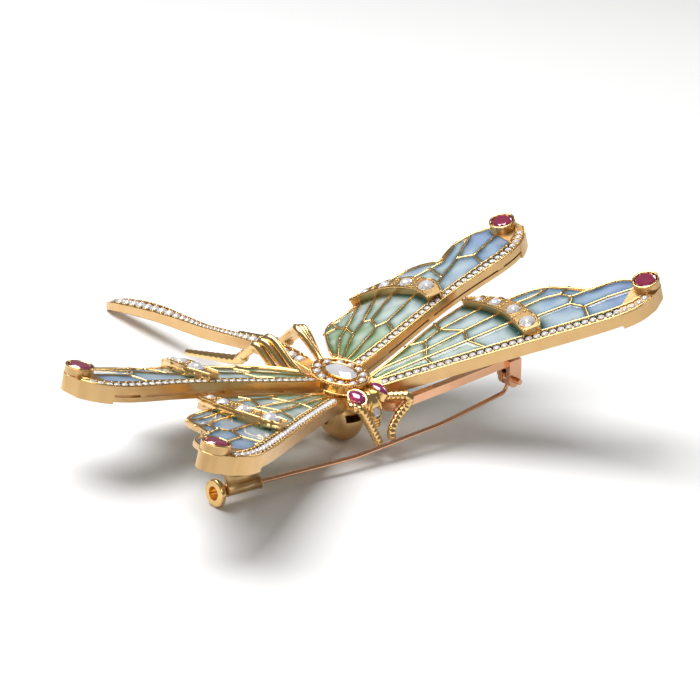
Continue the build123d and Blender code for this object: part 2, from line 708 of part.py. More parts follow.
PIN_Y = -12.0
PIN_R = 0.375
PIVOT = (27.5, -5.2)
EYE_R = 1.15
EYE_HALF = 0.5
RIVET_R = 0.5
RIVET_HALF = 2.6
EAR_THICK = 0.85
SIDE_GAP = 0.06
KNOB_R = 2.27
TUBE_START = -26.8
TUBE_LENGTH = 6.7
TUBE_R, TUBE_BORE = 0.95, 0.7
SLEEVE_R, SLEEVE_BORE = 0.65, 0.45
SLEEVE_START = -0.35
SLOT = {"width": 1.0, "length": 3.7}
PIN_REACH = 3.3
KNOB = {"neck": 6.85, "back": 8.1, "front": 9.1, "hollow": 1.13}
ARM_RIGHT = [(1.5, -3.9, -4.75), (4.9, -8.1, -4.75), (15.0, -10.2, -3.3), (27.2, -12.0, -1.9)]
ARM_LEFT = [(-1.5, -3.9, -4.75), (-4.9, -8.1, -4.75), (-13.0, -10.0, -3.35), (-27.6, -12.0, -4.5)]
ARM_WIDTH, ARM_HEIGHT = 1.4, 1.5
PLATE = [(-27.0, -4.0), (-29.2, -2.3), (-33.6, -1.6), (-33.4, -5.4), (-27.4, -6.0)]


def tube_axis(x):
    """Height of the catch tube's axis: level with the table, a knob's radius above it."""
    return floor_height(x) + KNOB_R / math.cos(math.radians(LEAN))


def tube_plane(along=0.0):
    """A plane across the catch tube; its Y points down to the table."""
    lean = math.radians(LEAN)
    x = TUBE_START - along * math.cos(lean)
    return Plane((x, PIN_Y, tube_axis(x)), x_dir=(0, 1, 0), z_dir=(-math.cos(lean), 0, math.sin(lean)))


def arm(points):
    """A bar of rectangular section through the points."""
    sections = []
    for i, point in enumerate(points):
        before, after = points[max(i - 1, 0)], points[min(i + 1, len(points) - 1)]
        direction = Vector(after[0] - before[0], after[1] - before[1], 0)
        across = direction.cross(Vector(0, 0, 1))
        sections.append(Plane(point, x_dir=across, z_dir=direction) * Rectangle(ARM_WIDTH, ARM_HEIGHT))
    return loft(sections, ruled=True)


def hinge_arm():
    """The bar to the hinge and its two ears."""
    solid = arm(ARM_RIGHT)
    ear = Pos(PIVOT[0], 0, 0) * Plane.XZ * Pos(0, PIVOT[1] / 2 - 0.75) * Rectangle(2.7, -PIVOT[1] - 1.5)
    tip = Pos(PIVOT[0], 0, 0) * Plane.XZ * Pos(0, PIVOT[1]) * Circle(1.35)
    width = 2 * (EYE_HALF + SIDE_GAP + EAR_THICK)
    block = extrude(ear + tip, width / 2, both=True)
    solid += Pos(0, PIN_Y, 0) * block
    slot = Box(6, 2 * (EYE_HALF + SIDE_GAP), 7)
    solid -= Pos(PIVOT[0], PIN_Y, PIVOT[1] - 1.4) * slot
    solid -= Pos(PIVOT[0], PIN_Y, PIVOT[1]) * Rot(90, 0, 0) * Cylinder(RIVET_R + 0.03, 8)
    return solid - thorax_body(SEAM) - belly_body(SEAM) - head_body(SEAM)


def hinge_rivet():
    """The rivet that the pin turns on, with its two proud ends."""
    return Pos(PIVOT[0], PIN_Y, PIVOT[1]) * Rot(90, 0, 0) * Cylinder(RIVET_R, 2 * RIVET_HALF)


def pin_stem():
    """The bowed pin: its eye on the rivet, its point in the catch."""
    lean = math.radians(LEAN)
    tip_x = TUBE_START - (PIN_REACH - 1.3) * math.cos(lean)
    entry_x = TUBE_START + 2.5
    route = [
        (PIVOT[0] - 0.2, PIVOT[1] - 0.6),
        (26.4, -7.7),
        (12.0, -8.95),
        (-7.0, -8.75),
        (entry_x, tube_axis(entry_x)),
        (tip_x, tube_axis(tip_x)),
    ]
    path = FilletPolyline(*[(x, PIN_Y, z) for x, z in route], radius=[1.6, 30, 30, 20])
    rod = sweep(Plane(path @ 0, z_dir=path % 0) * Circle(PIN_R), path=path)
    point = Plane(path @ 1, z_dir=path % 1) * Cone(PIN_R, 0.12, 1.3, align=(Align.CENTER, Align.CENTER, Align.MIN))
    eye_ring = Pos(PIVOT[0], PIN_Y, PIVOT[1]) * Rot(90, 0, 0) * Cylinder(EYE_R, 2 * EYE_HALF)
    solid = rod + point + eye_ring
    return solid - Pos(PIVOT[0], PIN_Y, PIVOT[1]) * Rot(90, 0, 0) * Cylinder(RIVET_R + 0.04, 8)


def catch_arm():
    """The bar to the catch, its plate and the slotted outer tube."""
    plate = extrude(Plane.XZ * make_face(Polyline(*PLATE, close=True)), 0.6, both=True)
    solid = arm(ARM_LEFT) + Pos(0, PIN_Y, 0) * plate
    solid += extrude(tube_plane() * Circle(TUBE_R), TUBE_LENGTH)
    solid -= extrude(tube_plane(-6) * Circle(TUBE_BORE), TUBE_LENGTH + 12)
    slot = Pos(0, TUBE_R, SLOT["length"] / 2 - 0.5) * Box(SLOT["width"], 2 * TUBE_R, SLOT["length"] + 1)
    solid -= tube_plane() * slot
    return solid - thorax_body(SEAM) - belly_body(SEAM) - head_body(SEAM)


def catch_sleeve():
    """The sliding tube with its hollow knob."""
    solid = extrude(tube_plane(SLEEVE_START) * Circle(SLEEVE_R), KNOB["back"] - SLEEVE_START)
    neck = Cone(SLEEVE_R, 1.6, KNOB["back"] - KNOB["neck"], align=(Align.CENTER, Align.CENTER, Align.MIN))
    solid += tube_plane(KNOB["neck"]) * neck
    disc = extrude(tube_plane(KNOB["back"]) * Circle(KNOB_R), KNOB["front"] - KNOB["back"])
    solid += fillet(disc.edges(), 0.42)
    solid -= extrude(tube_plane(KNOB["back"] - 0.3) * Circle(KNOB["hollow"]), 3)
    return solid - extrude(tube_plane(-2) * Circle(SLEEVE_BORE), 7)


# Placing and writing.

SIDES = {"left": -1, "right": 1}


def sided(shapes, side):
    """Shapes made for the right side, mirrored for the left."""
    if SIDES[side] > 0:
        return shapes
    return [mirror(shape, about=Plane.YZ) for shape in shapes]


def brooch():
    """Every node of the brooch by name, as a list of solids in the brooch's own frame."""
    nodes = {
        "thorax": [thorax()],
        "head": [head()],
        "belly": [belly()],
        "abdomen": [abdomen()],
        "centre_diamond": [centre_diamond()],
        "head_diamond": [head_diamond()],
        "halo_diamonds": halo(),
        "tail_pave": tail_pave(),
        "hinge_arm": [hinge_arm()],
        "hinge_rivet": [hinge_rivet()],
        "pin_stem": [pin_stem()],
        "catch_arm": [catch_arm()],
        "catch_sleeve": [catch_sleeve()],
    }
    for side, sign in SIDES.items():
        nodes[f"eye_{side}"] = [eye(sign)]
        nodes[f"front_leg_{side}"] = [front_leg(sign)]
        nodes[f"hind_leg_{side}"] = [hind_leg(sign)]
    for wing in WINGS:
        place = wing_place(wing)
        keep_out = thorax_body(SEAM)
        frame = [place * wing_frame(wing) - keep_out]
        panes = [place * pane for pane in enamel(wing)]
        ruby = [place * tip_ruby(wing)]
        field = [place * cut for cut in pave(wing)]
        crescent = [place * cut for cut in crescent_stones(wing)]
        for side in SIDES:
            name = f"{wing['name']}_{side}"
            nodes[f"wing_frame_{name}"] = sided(frame, side)
            nodes[f"enamel_{name}"] = sided(panes, side)
            nodes[f"tip_ruby_{name}"] = sided(ruby, side)
            nodes[f"rail_pave_{name}"] = sided(field, side)
            for i, cut in enumerate(crescent):
                nodes[f"crescent_diamond_{name}_{i + 1}"] = sided([cut], side)
    return nodes


def resting(nodes):
    """Where the leaning brooch rests with its box centred over the origin."""
    turn = Rot(0, -LEAN, 0)
    whole = Compound([turn * shape for shapes in nodes.values() for shape in shapes]).bounding_box()
    middle = whole.center()
    return Pos(-middle.X, -middle.Y, -whole.min.Z) * turn


def main():
    os.makedirs("parts", exist_ok=True)
    nodes = brooch()
    place = resting(nodes)
    for name, shapes in nodes.items():
        export_step(Compound([place * shape for shape in shapes]), f"parts/{name}.step")
    print("origin of the drawing", place.position)
    print("pivot", (place * Pos(PIVOT[0], PIN_Y, PIVOT[1])).position)
    print("sleeve", (place * tube_plane(KNOB["front"]).location).position)
    print("solids", sum(len(shapes) for shapes in nodes.values()))


main()
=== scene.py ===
# %% [markdown]
# # A dragonfly brooch with window-enamel wings
# The real brooch is gold wire and sheet, with panes of see-through enamel between the wires,
# rows of small diamonds in channels, and rubies for the eyes and the wing tips.
# The solids of the construction are loaded first. This lesson then dresses them: rounded wires,
# curved panes, cut stones and grains of gold, each a surface worked out from a short formula.

# %% Load the construction
import math
import json

import bpy
import numpy as np
from mathutils import Matrix, Vector


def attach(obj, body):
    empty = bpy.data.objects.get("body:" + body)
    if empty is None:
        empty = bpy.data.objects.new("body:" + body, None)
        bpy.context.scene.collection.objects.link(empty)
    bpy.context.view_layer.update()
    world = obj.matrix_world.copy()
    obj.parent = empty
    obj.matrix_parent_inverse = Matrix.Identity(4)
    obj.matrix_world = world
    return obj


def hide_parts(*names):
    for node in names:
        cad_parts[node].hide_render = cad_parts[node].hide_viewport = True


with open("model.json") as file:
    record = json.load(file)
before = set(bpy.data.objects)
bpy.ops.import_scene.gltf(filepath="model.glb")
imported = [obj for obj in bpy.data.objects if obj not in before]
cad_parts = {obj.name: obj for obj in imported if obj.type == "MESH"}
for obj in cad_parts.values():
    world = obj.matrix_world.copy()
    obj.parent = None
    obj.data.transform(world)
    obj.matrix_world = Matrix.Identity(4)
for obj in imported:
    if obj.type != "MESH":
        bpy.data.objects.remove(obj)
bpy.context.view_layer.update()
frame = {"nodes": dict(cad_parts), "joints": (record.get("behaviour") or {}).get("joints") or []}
root_body = "brooch"

# %% [markdown]
# The brooch was drawn level and then turned by 7.2 degrees, because it rests on its catch,
# its belly and its tail. Working in the level drawing keeps every formula simple,
# so all points are computed there in millimetres and turned at the very end.
# The hinge of the pin is known in both frames, and that gives the shift between them.

# %% From the drawing to the table
LEAN = math.radians(7.2)
TURN = np.array([
    [math.cos(LEAN), 0, -math.sin(LEAN)],
    [0, 1, 0],
    [math.sin(LEAN), 0, math.cos(LEAN)],
])
PIVOT_IN_DRAWING = np.array([27.5, -12.0, -5.2])
pivot_at_rest = next(joint["pos_m"] for joint in frame["joints"] if joint["name"] == "pin_swing")
ORIGIN = np.array(pivot_at_rest) * 1000 - TURN @ PIVOT_IN_DRAWING


def rested(points):
    """Drawing points in millimetres to metres on the table: p' = (TURN p + ORIGIN) / 1000."""
    return (np.asarray(points, float) @ TURN.T + ORIGIN) / 1000


print("drawing origin at", ORIGIN.round(2))

# %% [markdown]
# The camera stands low, in front of the left wings, and is tipped a little, so that the table slopes
# in the picture. Its three axes are worked out from two angles.

# %% Camera
VIEW_TURN = math.radians(40.3)
VIEW_RISE = math.radians(25.58)
VIEW_DISTANCE = 420.0
PIXELS_PER_MM = 6.03
FRAME_PIXELS = 700
ORIGIN_PIXEL = (340.0, 372.0)
SENSOR = 36.0


def place_camera():
    """Right, up and back axes from the turn and the rise, then the same turn as the brooch."""
    s, c = math.sin(VIEW_TURN), math.cos(VIEW_TURN)
    se, ce = math.sin(VIEW_RISE), math.cos(VIEW_RISE)
    right = np.array([c, -s, 0])
    back = np.array([-s * ce, -c * ce, se])
    up = np.array([s * se, c * se, ce])
    across = (ORIGIN_PIXEL[0] - FRAME_PIXELS / 2) / PIXELS_PER_MM
    down = (ORIGIN_PIXEL[1] - FRAME_PIXELS / 2) / PIXELS_PER_MM
    place = rested(-across * right + down * up + VIEW_DISTANCE * back)
    data = bpy.data.cameras.new("camera")
    data.sensor_width = SENSOR
    data.lens = SENSOR * PIXELS_PER_MM * VIEW_DISTANCE / FRAME_PIXELS
    data.clip_start = 0.01
    camera = bpy.data.objects.new("camera", data)
    bpy.context.scene.collection.objects.link(camera)
    world = np.eye(4)
    world[:3, :3] = np.column_stack([TURN @ right, TURN @ up, TURN @ back])
    world[:3, 3] = place
    camera.matrix_world = Matrix(world.tolist())
    bpy.context.scene.camera = camera
    return camera


camera = place_camera()
print("camera height in mm", round(camera.matrix_world.translation.z * 1000))

# %% [markdown]
# Gold needs something to reflect. A large soft panel over the brooch, two small warm ones in front and
# beside it, and a dim surround give it broad pale bands on top and darker, warmer sides.

# %% Light and table
LAMPS = [
    ("overhead", (-0.10, 0.16, 0.50), 0.42, 4.3, (1, 1, 1)),
    ("front", (-0.42, -0.30, 0.20), 0.14, 0.30, (1.0, 0.96, 0.9)),
    ("side", (0.42, 0.10, 0.25), 0.12, 0.30, (1.0, 0.97, 0.92)),
]
LAMP_TARGET = (0, 0, 0.01)
SURROUND_COLOR = (0.97, 0.98, 1.0, 1)
SURROUND_STRENGTH = 0.20
TABLE_HALF = 2.0
TABLE_COLOR = (0.86, 0.86, 0.86, 1)


def area_light(name, place, size, power, color):
    """A square soft light at a place in metres, aimed at the brooch."""
    data = bpy.data.lights.new(name, "AREA")
    data.size = size
    data.energy = power
    data.color = color
    lamp = bpy.data.objects.new(name, data)
    bpy.context.scene.collection.objects.link(lamp)
    lamp.location = place
    aim = np.array(place) - np.array(LAMP_TARGET)
    lamp.rotation_euler = Vector(aim).to_track_quat("Z", "Y").to_euler()
    return lamp


for lamp in LAMPS:
    area_light(*lamp)

surround = bpy.data.worlds.new("surround")
surround.use_nodes = True
surround.node_tree.nodes["Background"].inputs["Color"].default_value = SURROUND_COLOR
surround.node_tree.nodes["Background"].inputs["Strength"].default_value = SURROUND_STRENGTH
bpy.context.scene.world = surround
bpy.context.scene.view_settings.view_transform = "Standard"


def table_top():
    """A level square of 4 m with a plain pale finish."""
    half = TABLE_HALF
    corners = [(-half, -half, 0), (half, -half, 0), (half, half, 0), (-half, half, 0)]
    mesh = bpy.data.meshes.new("table")
    mesh.from_pydata(corners, [], [(0, 1, 2, 3)])
    table = bpy.data.objects.new("table", mesh)
    bpy.context.scene.collection.objects.link(table)
    paint = bpy.data.materials.new("pale_table")
    paint.use_nodes = True
    shader = paint.node_tree.nodes["Principled BSDF"]
    shader.inputs["Base Color"].default_value = TABLE_COLOR
    shader.inputs["Roughness"].default_value = 0.55
    mesh.materials.append(paint)
    return table


table_top()

# %% [markdown]
# ## Finishes
# Every finish is a Principled shader with a few procedural nodes. Gold is a metal whose roughness
# varies with fine noise, so that its highlights break up as on a surface that was filed and polished
# by hand.

# %% Gold
WARMER = (0.93, 0.86, 0.76)


def tinted(color, share):
    """A colour with each of its three parts multiplied by its own share."""
    return tuple(part * k for part, k in zip(color, share))


def add_node(tree, kind, **values):
    """A new node with its inputs set by name."""
    node = tree.nodes.new(kind)
    for name, value in values.items():
        node.inputs[name.replace("_", " ")].default_value = value
    return node


def mixed(tree, factor, first, second, blend="MIX"):
    """The colour output of a mix; three numbers go on the socket, and a socket is linked to it."""
    node = tree.nodes.new("ShaderNodeMix")
    node.data_type = "RGBA"
    node.blend_type = blend
    factor_in, first_in, second_in = node.inputs[0], node.inputs[6], node.inputs[7]
    for socket, value in ((factor_in, factor), (first_in, first), (second_in, second)):
        if isinstance(value, bpy.types.NodeSocket):
            tree.links.new(value, socket)
        else:
            socket.default_value = (*value, 1) if isinstance(value, tuple) else value
    return node.outputs[2]


def gold(name, color, low, high, bump, scale):
    """Metal with noise between two roughness values and a faint bump."""
    material = bpy.data.materials.new(name)
    material.use_nodes = True
    tree = material.node_tree
    shader = tree.nodes["Principled BSDF"]
    shader.inputs["Metallic"].default_value = 1.0
    place = tree.nodes.new("ShaderNodeTexCoord")
    fine = add_node(tree, "ShaderNodeTexNoise", Scale=scale, Detail=4.0, Roughness=0.6)
    broad = add_node(tree, "ShaderNodeTexNoise", Scale=scale / 9, Detail=2.0)
    tree.links.new(place.outputs["Object"], fine.inputs["Vector"])
    tree.links.new(place.outputs["Object"], broad.inputs["Vector"])
    spread = add_node(tree, "ShaderNodeMapRange")
    spread.inputs["To Min"].default_value = low
    spread.inputs["To Max"].default_value = high
    tree.links.new(broad.outputs["Fac"], spread.inputs["Value"])
    tree.links.new(spread.outputs["Result"], shader.inputs["Roughness"])
    tone = mixed(tree, broad.outputs["Fac"], color, tinted(color, WARMER))
    tree.links.new(tone, shader.inputs["Base Color"])
    relief = add_node(tree, "ShaderNodeBump", Strength=bump, Distance=0.0001)
    tree.links.new(fine.outputs["Fac"], relief.inputs["Height"])
    tree.links.new(relief.outputs["Normal"], shader.inputs["Normal"])
    return material


bright_gold = gold("bright_gold", (0.90, 0.62, 0.27), 0.12, 0.26, 0.05, 2600)
satin_gold = gold("satin_gold", (0.74, 0.50, 0.24), 0.26, 0.42, 0.12, 4200)
rose_gold = gold("rose_gold", (0.80, 0.46, 0.29), 0.14, 0.28, 0.06, 2600)

# %% [markdown]
# A diamond bends light strongly, a ruby less so and with deep colour. Both are clear bodies with
# flat facets, and the facets do the rest.

# %% Stones
DARKER = (0.88, 0.86, 0.9)


def gem(name, color, index, through, coat=0.0):
    """A clear, sharp, glossy stone: base colour, refractive index and share of light let through."""
    material = bpy.data.materials.new(name)
    material.use_nodes = True
    tree = material.node_tree
    shader = tree.nodes["Principled BSDF"]
    shader.inputs["Roughness"].default_value = 0.02
    shader.inputs["IOR"].default_value = index
    shader.inputs["Transmission Weight"].default_value = through
    shader.inputs["Coat Weight"].default_value = coat
    place = tree.nodes.new("ShaderNodeTexCoord")
    cloud = add_node(tree, "ShaderNodeTexNoise", Scale=900.0, Detail=2.0)
    tree.links.new(place.outputs["Object"], cloud.inputs["Vector"])
    tone = mixed(tree, cloud.outputs["Fac"], color, tinted(color, DARKER))
    tree.links.new(tone, shader.inputs["Base Color"])
    return material


diamond = gem("diamond", (0.98, 0.98, 1.0), 2.2, 0.45)
ruby = gem("ruby", (0.42, 0.02, 0.10), 2.0, 0.45, 0.8)
eye_ruby = gem("eye_ruby", (0.36, 0.02, 0.17), 1.9, 0.35, 0.7)

# %% [markdown]
# Window enamel is glass melted into open cells. It is deepest in colour where it climbs the wires and
# palest in the middle of a cell; the dark band by the metal is partly that thicker glass and partly painted
# shade. So the colour, painted shade included, is worked out per point on the pane, kept in a colour
# attribute, and only broken up here by fine noise.

# %% Enamel


def enamel_glass():
    """Half glass, half milky body, coloured by the pane's own attribute."""
    material = bpy.data.materials.new("window_enamel")
    material.use_nodes = True
    tree = material.node_tree
    shader = tree.nodes["Principled BSDF"]
    shader.inputs["Roughness"].default_value = 0.07
    shader.inputs["IOR"].default_value = 1.52
    shader.inputs["Transmission Weight"].default_value = 0.35
    shader.inputs["Coat Weight"].default_value = 0.4
    shader.inputs["Coat Roughness"].default_value = 0.03
    # The attribute carries the enamel's colour together with the painted shade by the metal.
    tone = tree.nodes.new("ShaderNodeAttribute")
    tone.attribute_name = "tone"
    place = tree.nodes.new("ShaderNodeTexCoord")
    cloud = add_node(tree, "ShaderNodeTexNoise", Scale=420.0, Detail=4.0, Roughness=0.6)
    tree.links.new(place.outputs["Object"], cloud.inputs["Vector"])
    shade = mixed(tree, 0.35, tone.outputs["Color"], cloud.outputs["Fac"], "SOFT_LIGHT")
    tree.links.new(shade, shader.inputs["Base Color"])
    wave = add_node(tree, "ShaderNodeTexNoise", Scale=260.0, Detail=2.0)
    tree.links.new(place.outputs["Object"], wave.inputs["Vector"])
    relief = add_node(tree, "ShaderNodeBump", Strength=0.25, Distance=0.0002)
    tree.links.new(wave.outputs["Fac"], relief.inputs["Height"])
    tree.links.new(relief.outputs["Normal"], shader.inputs["Normal"])
    return material


window_enamel = enamel_glass()
print("finishes", len(bpy.data.materials))

# %% [markdown]
# The construction's own solids that keep their shape only get a finish.

# %% Finish the solids that stay
FINISH = {
    "thorax": bright_gold, "head": bright_gold, "catch_sleeve": bright_gold,
    "hinge_arm": rose_gold, "hinge_rivet": rose_gold, "pin_stem": rose_gold,
}
for name, node in frame["nodes"].items():
    node.data.materials.clear()
    node.data.materials.append(FINISH.get(name, satin_gold))

# %% [markdown]
# ## Shapes from formulas
# A part is a pair: an array of points and a list of faces. Parts are joined by stacking
# their arrays, mirrored by changing the sign of x, and turned into a mesh once.

# %% Parts and meshes


def joined(parts):
    """Several parts as one; each face index moves up by the points before it."""
    points, faces, tags = [], [], []
    start = 0
    for part_points, part_faces, tag in parts:
        points.append(part_points)
        faces += [tuple(i + start for i in face) for face in part_faces]
        tags += [tag] * len(part_faces)
        start += len(part_points)
    return np.concatenate(points), faces, tags


def add_piece(name, parts, materials, side=1, body=root_body, smooth=True, tone=None):
    """One object of joined parts; a part's tag picks its material, and side -1 mirrors it."""
    points, faces, tags = joined(parts)
    if side < 0:
        points = points * np.array([-1, 1, 1])
        faces = [face[::-1] for face in faces]
    mesh = bpy.data.meshes.new(name)
    mesh.from_pydata(rested(points).tolist(), [], faces)
    for material in materials:
        mesh.materials.append(material)
    mesh.polygons.foreach_set("material_index", np.array(tags, np.int32))
    smooth_tags = np.array([smooth if np.isscalar(smooth) else smooth[tag] for tag in tags], bool)
    mesh.polygons.foreach_set("use_smooth", smooth_tags)
    if tone is not None:
        layer = mesh.attributes.new("tone", "FLOAT_COLOR", "POINT")
        layer.data.foreach_set("color", np.column_stack([tone, np.ones(len(tone))]).ravel())
    mesh.update()
    piece = bpy.data.objects.new(name, mesh)
    bpy.context.scene.collection.objects.link(piece)
    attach(piece, body)
    return piece


# %% [markdown]
# A wire is a circle carried along a path. The circle stands across the path, with one axis kept as
# near as possible to a given up direction, and each end closes on a point.

# %% Wires


def unit(vectors):
    """Vectors scaled to length one along the last axis."""
    vectors = np.asarray(vectors, float)
    return vectors / np.maximum(np.linalg.norm(vectors, axis=-1, keepdims=True), 1e-9)


def curve_through(points, count):
    """A smooth curve through the points: on each span p(t) blends four neighbours (Catmull-Rom)."""
    points = np.asarray(points, float)
    padded = np.vstack([2 * points[0] - points[1], points, 2 * points[-1] - points[-2]])
    spans = len(points) - 1
    places = np.linspace(0, spans, count)
    span = np.minimum(places.astype(int), spans - 1)
    t = (places - span)[:, None]
    a, b, c, d = (padded[span + k] for k in range(4))
    return 0.5 * (2 * b + (c - a) * t + (2 * a - 5 * b + 4 * c - d) * t**2 + (3 * b - a - 3 * c + d) * t**3)


def polyline_at(points, pitch):
    """Points at even distances along a broken line, about pitch apart, with every corner kept."""
    points = np.asarray(points, float)
    runs = []
    for start, end in zip(points, points[1:]):
        steps = max(int(np.linalg.norm(end - start) / pitch), 1)
        runs.append(start + (end - start) * (np.arange(steps) / steps)[:, None])
    return np.vstack(runs + [points[-1:]])


def wire(path, radius, up=(0, 0, 1), sides=10, closed=False, tag=0, flat=1.0, corners=0.0):
    """A tube, closed on a point at each end.

    p(s, a) = path(s) + r(s) k(a) (cos a side + flat sin a normal), and
    k(a) = 1 + corners cos 4a gives four soft corners.
    """
    path = np.asarray(path, float)
    count = len(path)
    if closed:
        tangent = np.roll(path, -1, 0) - np.roll(path, 1, 0)
    else:
        tangent = np.gradient(path, axis=0)
    tangent = unit(tangent)
    ups = np.broadcast_to(np.asarray(up, float), path.shape)
    side = unit(np.cross(tangent, ups))
    normal = np.cross(side, tangent)
    angle = np.linspace(0, 2 * np.pi, sides, endpoint=False)
    radius = np.broadcast_to(np.asarray(radius, float), (count,))
    swell = 1 + corners * np.cos(4 * angle)
    ring = (swell * np.cos(angle))[None, :, None] * side[:, None]
    ring = ring + (flat * swell * np.sin(angle))[None, :, None] * normal[:, None]
    points = (path[:, None] + radius[:, None, None] * ring).reshape(-1, 3)
    i = np.arange(count if closed else count - 1)[:, None]
    j = np.arange(sides)[None, :]
    a = i * sides + j
    b = i * sides + (j + 1) % sides
    c = ((i + 1) % count) * sides + (j + 1) % sides
    d = ((i + 1) % count) * sides + j
    faces = np.stack([a, b, c, d], -1).reshape(-1, 4)[:, ::-1].tolist()
    if not closed:
        start_tip = path[0] - tangent[0] * radius[0] * 0.5
        end_tip = path[-1] + tangent[-1] * radius[-1] * 0.5
        points = np.vstack([points, start_tip, end_tip])
        first, last = count * sides, count * sides + 1
        base = (count - 1) * sides
        faces += [[first, k, (k + 1) % sides] for k in range(sides)]
        faces += [[last, base + (k + 1) % sides, base + k] for k in range(sides)]
    return points, [tuple(face) for face in faces], tag


# %% [markdown]
# Grains of gold are tiny balls pushed up round each stone. One ball is made of rings,
# and the whole field is the same ball added to every place at once.

# %% Grains


def ball(sides=8, rings=5):
    """A unit sphere: rings at even angles between two poles."""
    polar = np.pi * np.arange(1, rings) / rings
    angle = 2 * np.pi * np.arange(sides) / sides
    ring = np.stack([
        np.sin(polar)[:, None] * np.cos(angle),
        np.sin(polar)[:, None] * np.sin(angle),
        np.cos(polar)[:, None] * np.ones(sides),
    ], -1).reshape(-1, 3)
    points = np.vstack([ring, [[0, 0, 1], [0, 0, -1]]])
    top, bottom = len(ring), len(ring) + 1
    faces = []
    for k in range(sides):
        after = (k + 1) % sides
        faces.append((top, k, after))
        base = (rings - 2) * sides
        faces.append((bottom, base + after, base + k))
        for row in range(rings - 2):
            above, below = row * sides, (row + 1) * sides
            faces.append((above + k, below + k, below + after, above + after))
    return points, faces


BALL = ball()


def grains(places, radii, tag=0):
    """The unit ball scaled and moved to every place."""
    places = np.asarray(places, float).reshape(-1, 3)
    radii = np.broadcast_to(np.asarray(radii, float), (len(places),))
    points = (places[:, None] + radii[:, None, None] * BALL[0][None]).reshape(-1, 3)
    size = len(BALL[0])
    faces = [tuple(i + k * size for i in face) for k in range(len(places)) for face in BALL[1]]
    return points, faces, tag


# %% [markdown]
# A brilliant has a flat table, a crown that steps down to the girdle in two rings of facets,
# and a pointed pavilion. Each ring is turned by half a facet against its neighbour,
# which gives the kites and triangles of the real cut.

# %% Cut stones


def ring_of(sides, radius, height, shift=0.0, stretch=1.0):
    """Corners of a level polygon; stretch makes it an oval along y."""
    angle = 2 * np.pi * (np.arange(sides) + shift) / sides
    x, y = radius * np.cos(angle), stretch * radius * np.sin(angle)
    return np.column_stack([x, y, np.full(sides, height)])


def strip(lower, upper, sides, shifted_up):
    """Triangles between two rings with the same number of corners, the upper turned by half a facet."""
    faces = []
    for k in range(sides):
        after = (k + 1) % sides
        if shifted_up:
            faces += [(lower + k, lower + after, upper + k), (upper + k, lower + after, upper + after)]
        else:
            faces += [(lower + k, lower + after, upper + after), (lower + k, upper + after, upper + k)]
    return faces


def brilliant(table=0.55, crown=0.34, pavilion=0.75, sides=8):
    """Rings: girdle, crown, table, then a lower girdle, pavilion ring and culet; unit radius."""
    rings = [
        ring_of(sides, 0.14, -pavilion),
        ring_of(sides, 0.62, -pavilion * 0.48, 0.5),
        ring_of(sides, 1.0, -0.06),
        ring_of(sides, 1.0, 0.0),
        ring_of(sides, (1 + table) / 2 * 1.03, crown * 0.62, 0.5),
        ring_of(sides, table, crown, 1.0),
    ]
    faces = strip(0, sides, sides, True)
    faces += strip(sides, 2 * sides, sides, False)
    faces += [(2 * sides + k, 2 * sides + (k + 1) % sides, 3 * sides + (k + 1) % sides, 3 * sides + k)
              for k in range(sides)]
    faces += strip(3 * sides, 4 * sides, sides, True)
    faces += strip(4 * sides, 5 * sides, sides, True)
    faces.append(tuple(5 * sides + k for k in range(sides)))
    faces.append(tuple(reversed(range(sides))))
    return np.vstack(rings), faces


def rose_cut(sides=8, height=0.42, stretch=1.0):
    """A flat-backed dome of large facets that meet near the middle."""
    rings = [
        ring_of(sides, 0.9, -0.2, 0, stretch),
        ring_of(sides, 1.0, 0.0, 0, stretch),
        ring_of(sides, 0.62, height * 0.66, 0.5, stretch),
        ring_of(sides, 0.1, height, 1.0, stretch),
    ]
    faces = [(k, (k + 1) % sides, sides + (k + 1) % sides, sides + k) for k in range(sides)]
    faces += strip(sides, 2 * sides, sides, True)
    faces += strip(2 * sides, 3 * sides, sides, True)
    faces.append(tuple(3 * sides + k for k in range(sides)))
    faces.append(tuple(reversed(range(sides))))
    return np.vstack(rings), faces


def set_stones(cut, places, axes, radii, tag=0):
    """A cut stone at every place: p = place + r (x X + y Y + z Z), with the stone's own three axes."""
    places = np.asarray(places, float).reshape(-1, 3)
    axes = np.broadcast_to(np.asarray(axes, float), (len(places), 3, 3))
    radii = np.broadcast_to(np.asarray(radii, float), (len(places),))
    local = np.einsum("pk,nkc->npc", cut[0], axes)
    points = (places[:, None] + radii[:, None, None] * local).reshape(-1, 3)
    size = len(cut[0])
    faces = [tuple(i + k * size for i in face) for k in range(len(places)) for face in cut[1]]
    return points, faces, tag


BRILLIANT = brilliant()
print("facets on a brilliant", len(BRILLIANT[1]))

# %% [markdown]
# ## Wings
# Each wing is a flat plate ahead of its rail and a shallow barrel behind it. The tables repeat the driving
# dimensions of the construction: rails, crescents, veins and free edges in the plane of the wing,
# with u out along the wing and v back towards the tail.

